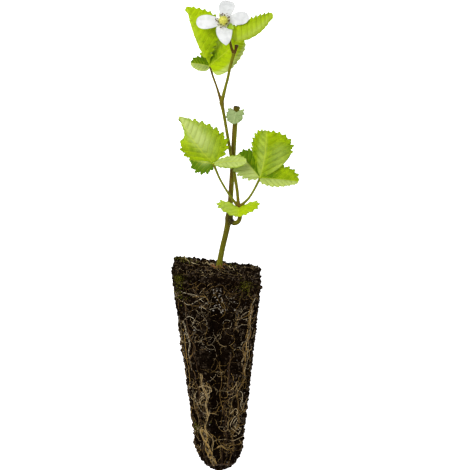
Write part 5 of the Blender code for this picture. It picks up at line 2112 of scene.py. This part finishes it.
@dataclass
class Litter:
    """What lies on the soil: moss, straws, pale grains and the dry scales at the cane's foot.

    Attributes:
        surface: The soil's surface with its crumbs.
        trees: The geometry trees.
        plug: The plug, for its moss.
        straws: Two ends of each straw as x and y on the soil.
        straw_radius: A straw's radius.
        fibre_count: How many thin fibres lie among them, fibre_radius how thick, fibre_step the
            distance between their knots.
        scale_count: How many dry scales there are.
        grains: Pale grains on the front, as x and depth.
        grain_size: Their half sizes.
        head: Where more of them lie at the groove's head, as lowest and highest x and depth.
        head_count: How many lie there.
        shoot_count: How many shoots a spot of moss has.
        foot: Where the cane comes out of the soil.
    """

    surface: BVHTree
    trees: Trees
    plug: Plug
    straws: tuple[tuple[Pair, Pair], ...] = (
        ((-20.0, 22.0), (-13.0, 8.0)), ((-6.5, 22.0), (-2.0, 10.0)), ((-3.5, 9.0), (-9.0, 14.0)),
        ((4.0, 12.0), (10.0, 3.0)), ((-14.0, -6.0), (-8.0, -14.0)),
    )
    straw_radius: float = 0.2
    fibre_count: int = 90
    fibre_radius: float = 0.09
    fibre_step: float = 1.1
    scale_count: int = 11
    grains: tuple[Pair, ...] = ((5.3, 18.9), (10.6, 18.9), (-9.8, 17.0), (-13.0, 31.0))
    grain_size: Point = (0.55, 0.30, 0.65)
    head: Knot = (-2.0, 3.8, 5.5, 21.5)
    head_count: int = 30
    shoot_count: int = 44
    foot: Point = (0.9, 4.1, 0.6)

    def onto(self, place: Vector, way: Vector) -> Optional[Vector]:
        """The point of the soil that lies beyond a place, in the plant's millimetres."""
        hit, _, _, _ = self.surface.ray_cast(LAID @ place, (LAID.to_3x3() @ way).normalized())
        return None if hit is None else LAID.inverted() @ hit

    def top(self, x: float, y: float) -> Point:
        """The point of the soil's upper surface at x and y."""
        found = self.onto(Vector((x, y, 20.0)), Vector((0.0, 0.0, -1.0)))
        return (x, y, 0.0) if found is None else tuple(found)

    def straw(self, draw: random.Random) -> None:
        """Dry straws and thin fibres on the soil.

        Args:
            draw: Random numbers.
        """
        routes, tones = [], []
        for (x, y), (u, v) in self.straws:
            knots = []
            for i in range(7):
                spot = self.top(x + (u - x) * i / 6, y + (v - y) * i / 6 + draw.uniform(-0.5, 0.5))
                knots.append((spot[0], spot[1], spot[2] + 0.35, self.straw_radius))
            routes.append(smooth_route(knots, 1.0))
            tones.append((0.8, 0.0, 0.0))
        for _ in range(self.fibre_count):
            x, y, heading = draw.uniform(-23, 23), draw.uniform(-24, 22), draw.uniform(0, math.tau)
            knots = []
            for _ in range(round(draw.uniform(4, 9))):
                spot = self.top(x, y)
                knots.append((spot[0], spot[1], spot[2] + 0.25, self.fibre_radius))
                heading += draw.gauss(0.0, 0.5)
                x = max(-24.5, min(24.5, x + self.fibre_step * math.cos(heading)))
                y = max(-24.5, min(23.5, y + self.fibre_step * math.sin(heading)))
            routes.append(smooth_route(knots, 1.0))
            tones.append((draw.uniform(-0.6, 0.4), 0.0, 0.0))
        keep(strands("straws", routes, self.trees.strand, Small.STRAW.material(), 5, tones),
             "soil")

    def scales(self, draw: random.Random) -> None:
        """The dry scales that stand round the cane's foot.

        Args:
            draw: Random numbers.
        """
        routes = []
        x, y, z = self.foot
        for i in range(self.scale_count):
            angle = math.tau * i / self.scale_count + draw.uniform(-0.2, 0.2)
            near, far = 1.4, draw.uniform(3.2, 5.6)
            end = self.top(x + far * math.cos(angle), y + far * math.sin(angle))
            middle = (x + 0.6 * far * math.cos(angle), y + 0.6 * far * math.sin(angle),
                      z + draw.uniform(0.4, 2.4), 0.34)
            routes.append(smooth_route([
                (x + near * math.cos(angle), y + near * math.sin(angle), z, 0.42), middle,
                (end[0], end[1], end[2] + draw.uniform(0.2, 1.8), 0.1)], 0.8))
        keep(strands("stipules", routes, self.trees.strand, Small.STIPULE.material(), 5),
             "stem")

    def pale_grains(self, draw: random.Random) -> None:
        """Pale grains at the head of the front's groove.

        Args:
            draw: Random numbers.
        """
        places, axes = [], []
        left, right, high, low = self.head
        more = [(draw.uniform(left, right), draw.uniform(high, low))
                for _ in range(self.head_count)]
        for x, depth in (*self.grains, *more):
            found = self.onto(Vector((x, -40.0, -depth)), Vector((0.0, 1.0, 0.0)))
            if found is not None:
                places.append(tuple(found))
                axes.append(np.array((0.6, draw.uniform(-1.0, 1.0), draw.uniform(-1.0, 1.0))))
        grains = studs("pale_grains", places, axes, self.trees.stud, Small.SPECK,
                       self.grain_size, 1)
        keep(grains, "soil")

    def moss(self, draw: random.Random) -> None:
        """Tufts of short moss shoots where moss grows.

        Args:
            draw: Random numbers.
        """
        shoots = []
        for x, y, z, radius in self.plug.moss_spots:
            way = Vector((0.0, 1.0, 0.0)) if y < -10.0 else Vector((0.0, 0.0, -1.0))
            for _ in range(self.shoot_count):
                spread = Vector([draw.gauss(0.0, 0.7 * radius) for _ in range(3)])
                found = self.onto(Vector((x, y, z)) + spread - way * 15.0, way)
                if found is None:
                    continue
                lean = Vector([draw.uniform(-0.6, 0.6) for _ in range(3)]) - way
                end = found + lean.normalized() * draw.uniform(0.5, 1.4)
                shoots.append(np.array([(*found, 0.13), (*found.lerp(end, 0.5), 0.16), (*end, 0.05)]))
        tones = [(draw.uniform(0.0, 1.0), 0.0, 0.0) for _ in shoots]
        keep(strands("moss", shoots, self.trees.strand, Small.MOSS.material(), 4, tones),
             "soil")

    def build(self) -> None:
        """Lay everything down."""
        draw = random.Random(17)
        self.straw(draw)
        self.scales(draw)
        self.pale_grains(draw)
        self.moss(draw)


# Stage


@dataclass(frozen=True)
class Studio:
    """The floor, the lights and the photograph's camera.

    Attributes:
        elevation: How far the camera looks down on the plant as it grew, in degrees.
        distance: From the camera to what it looks at.
        pixel: Millimetres for a pixel of the photograph at the plant's middle.
        frame_size: The photograph's width in pixels.
        origin_pixel: Where the plant's origin shows.
        sensor: The width of the camera's sensor.
        floor_white: The floor's colour.
        floor_glow: How strongly the floor shines, as a light table does.
        floor_half: Half of the floor's width in metres.
        floor_drop: How far it lies below the part.
        sky: Strength of the light from all round.
        aim: What the lights point at.
        lamps: Name, place, width and power of each light.
    """

    elevation: float = 11.0
    distance: float = 1000.0
    pixel: float = 50.0 / 85.0
    frame_size: int = 470
    origin_pixel: Pair = (217.0, 270.0)
    sensor: float = 36.0
    floor_white: Colour = (0.92, 0.92, 0.92)
    floor_glow: float = 0.9
    floor_half: float = 3.0
    floor_drop: float = 0.0002
    sky: float = 0.55
    aim: Point = (0.0, 0.02, 0.03)
    lamps: tuple[tuple[str, Point, float, float], ...] = (
        ("key", (-0.5, 0.45, 0.95), 0.5, 9.5), ("fill", (0.6, -0.1, 1.0), 0.9, 2.5),
    )

    def camera(self) -> None:
        """Look at the laid plant as the photograph looks at the standing one."""
        tilt = math.radians(self.elevation)
        right = Vector((1.0, 0.0, 0.0))
        up = Vector((0.0, math.sin(tilt), math.cos(tilt)))
        back = right.cross(up)
        middle = self.frame_size / 2
        target = Vector(((middle - self.origin_pixel[0]) * self.pixel, 0.0,
                         (self.origin_pixel[1] - middle) * self.pixel / math.cos(tilt)))
        axes = Matrix((right, up, back)).transposed().to_4x4()
        standing = Matrix.Translation(target + back * self.distance) @ axes
        made = bpy.data.objects.new("camera", bpy.data.cameras.new("camera"))
        bpy.context.scene.collection.objects.link(made)
        seat = LAID @ standing
        made.matrix_world = Matrix.LocRotScale(seat.to_translation(), seat.to_quaternion(), None)
        made.data.sensor_width = self.sensor
        made.data.lens = self.sensor * self.distance / (self.frame_size * self.pixel)
        made.data.clip_start = 0.05
        bpy.context.scene.camera = made

    def light(self, name: str, place: Point, size: float, power: float) -> None:
        """Add a square soft light.

        Args:
            name: Its name.
            place: Where it stands, in the row's metres.
            size: Its side in metres.
            power: Its power in watts.
        """
        lamp = bpy.data.lights.new(name, "AREA")
        lamp.shape = "SQUARE"
        lamp.size = size
        lamp.energy = power
        made = bpy.data.objects.new(name, lamp)
        way = Vector(self.aim) - Vector(place)
        made.matrix_world = Matrix.LocRotScale(Vector(place), way.to_track_quat("-Z", "Y"), None)
        bpy.context.scene.collection.objects.link(made)

    def build(self) -> None:
        """Set the floor, lights and camera."""
        self.camera()
        half = self.floor_half
        corners = ((-half, -half), (half, -half), (half, half), (-half, half))
        mesh = bpy.data.meshes.new("floor")
        mesh.from_pydata([(*corner, -self.floor_drop) for corner in corners], [], [(0, 1, 2, 3)])
        look = Look("floor_paper")
        mesh.materials.append(look.dress(
            self.floor_white, 0.9, Specular_IOR_Level=0.0, Emission_Color=(1.0, 1.0, 1.0),
            Emission_Strength=self.floor_glow))
        link("floor", mesh)
        world = bpy.data.worlds.new("studio")
        world.use_nodes = True
        sky = world.node_tree.nodes["Background"]
        sky.inputs["Color"].default_value = (1.0, 1.0, 1.0, 1.0)
        sky.inputs["Strength"].default_value = self.sky
        bpy.context.scene.world = world
        for lamp in self.lamps:
            self.light(*lamp)
        view = bpy.context.scene.view_settings
        view.view_transform = "Standard"
        view.look = "None"


def main() -> None:
    """Build the plant and its stage."""
    logging.basicConfig(level=logging.INFO, format="%(message)s")
    trees = Trees(strand_tree(), scatter_tree(), stud_tree(), hair_tree())
    Studio().build()
    plug = Plug(SoilFinish().material(), trees)
    surface = plug.build()
    Roots(RootFinish().material(), plug, surface, trees.strand).build()
    Litter(surface, trees, plug).build()
    leaf = LeafFinish()
    grey = replace(leaf, name="grey_leaf", bright=(0.27, 0.37, 0.085), deep=(0.09, 0.17, 0.03),
                   pale=(0.42, 0.51, 0.24), below=(0.38, 0.47, 0.20), vein=(0.48, 0.56, 0.28))
    foliage = Foliage(leaf.material(), grey.material())
    foliage.build()
    flower = Flower(PetalFinish().material(), trees)
    flower.build()
    Stem(StemFinish().material(), trees, (foliage.hub_left, foliage.hub_right, foliage.hub_top),
         flower.pedicel_end()).build()


if __name__ == "__main__":
    main()
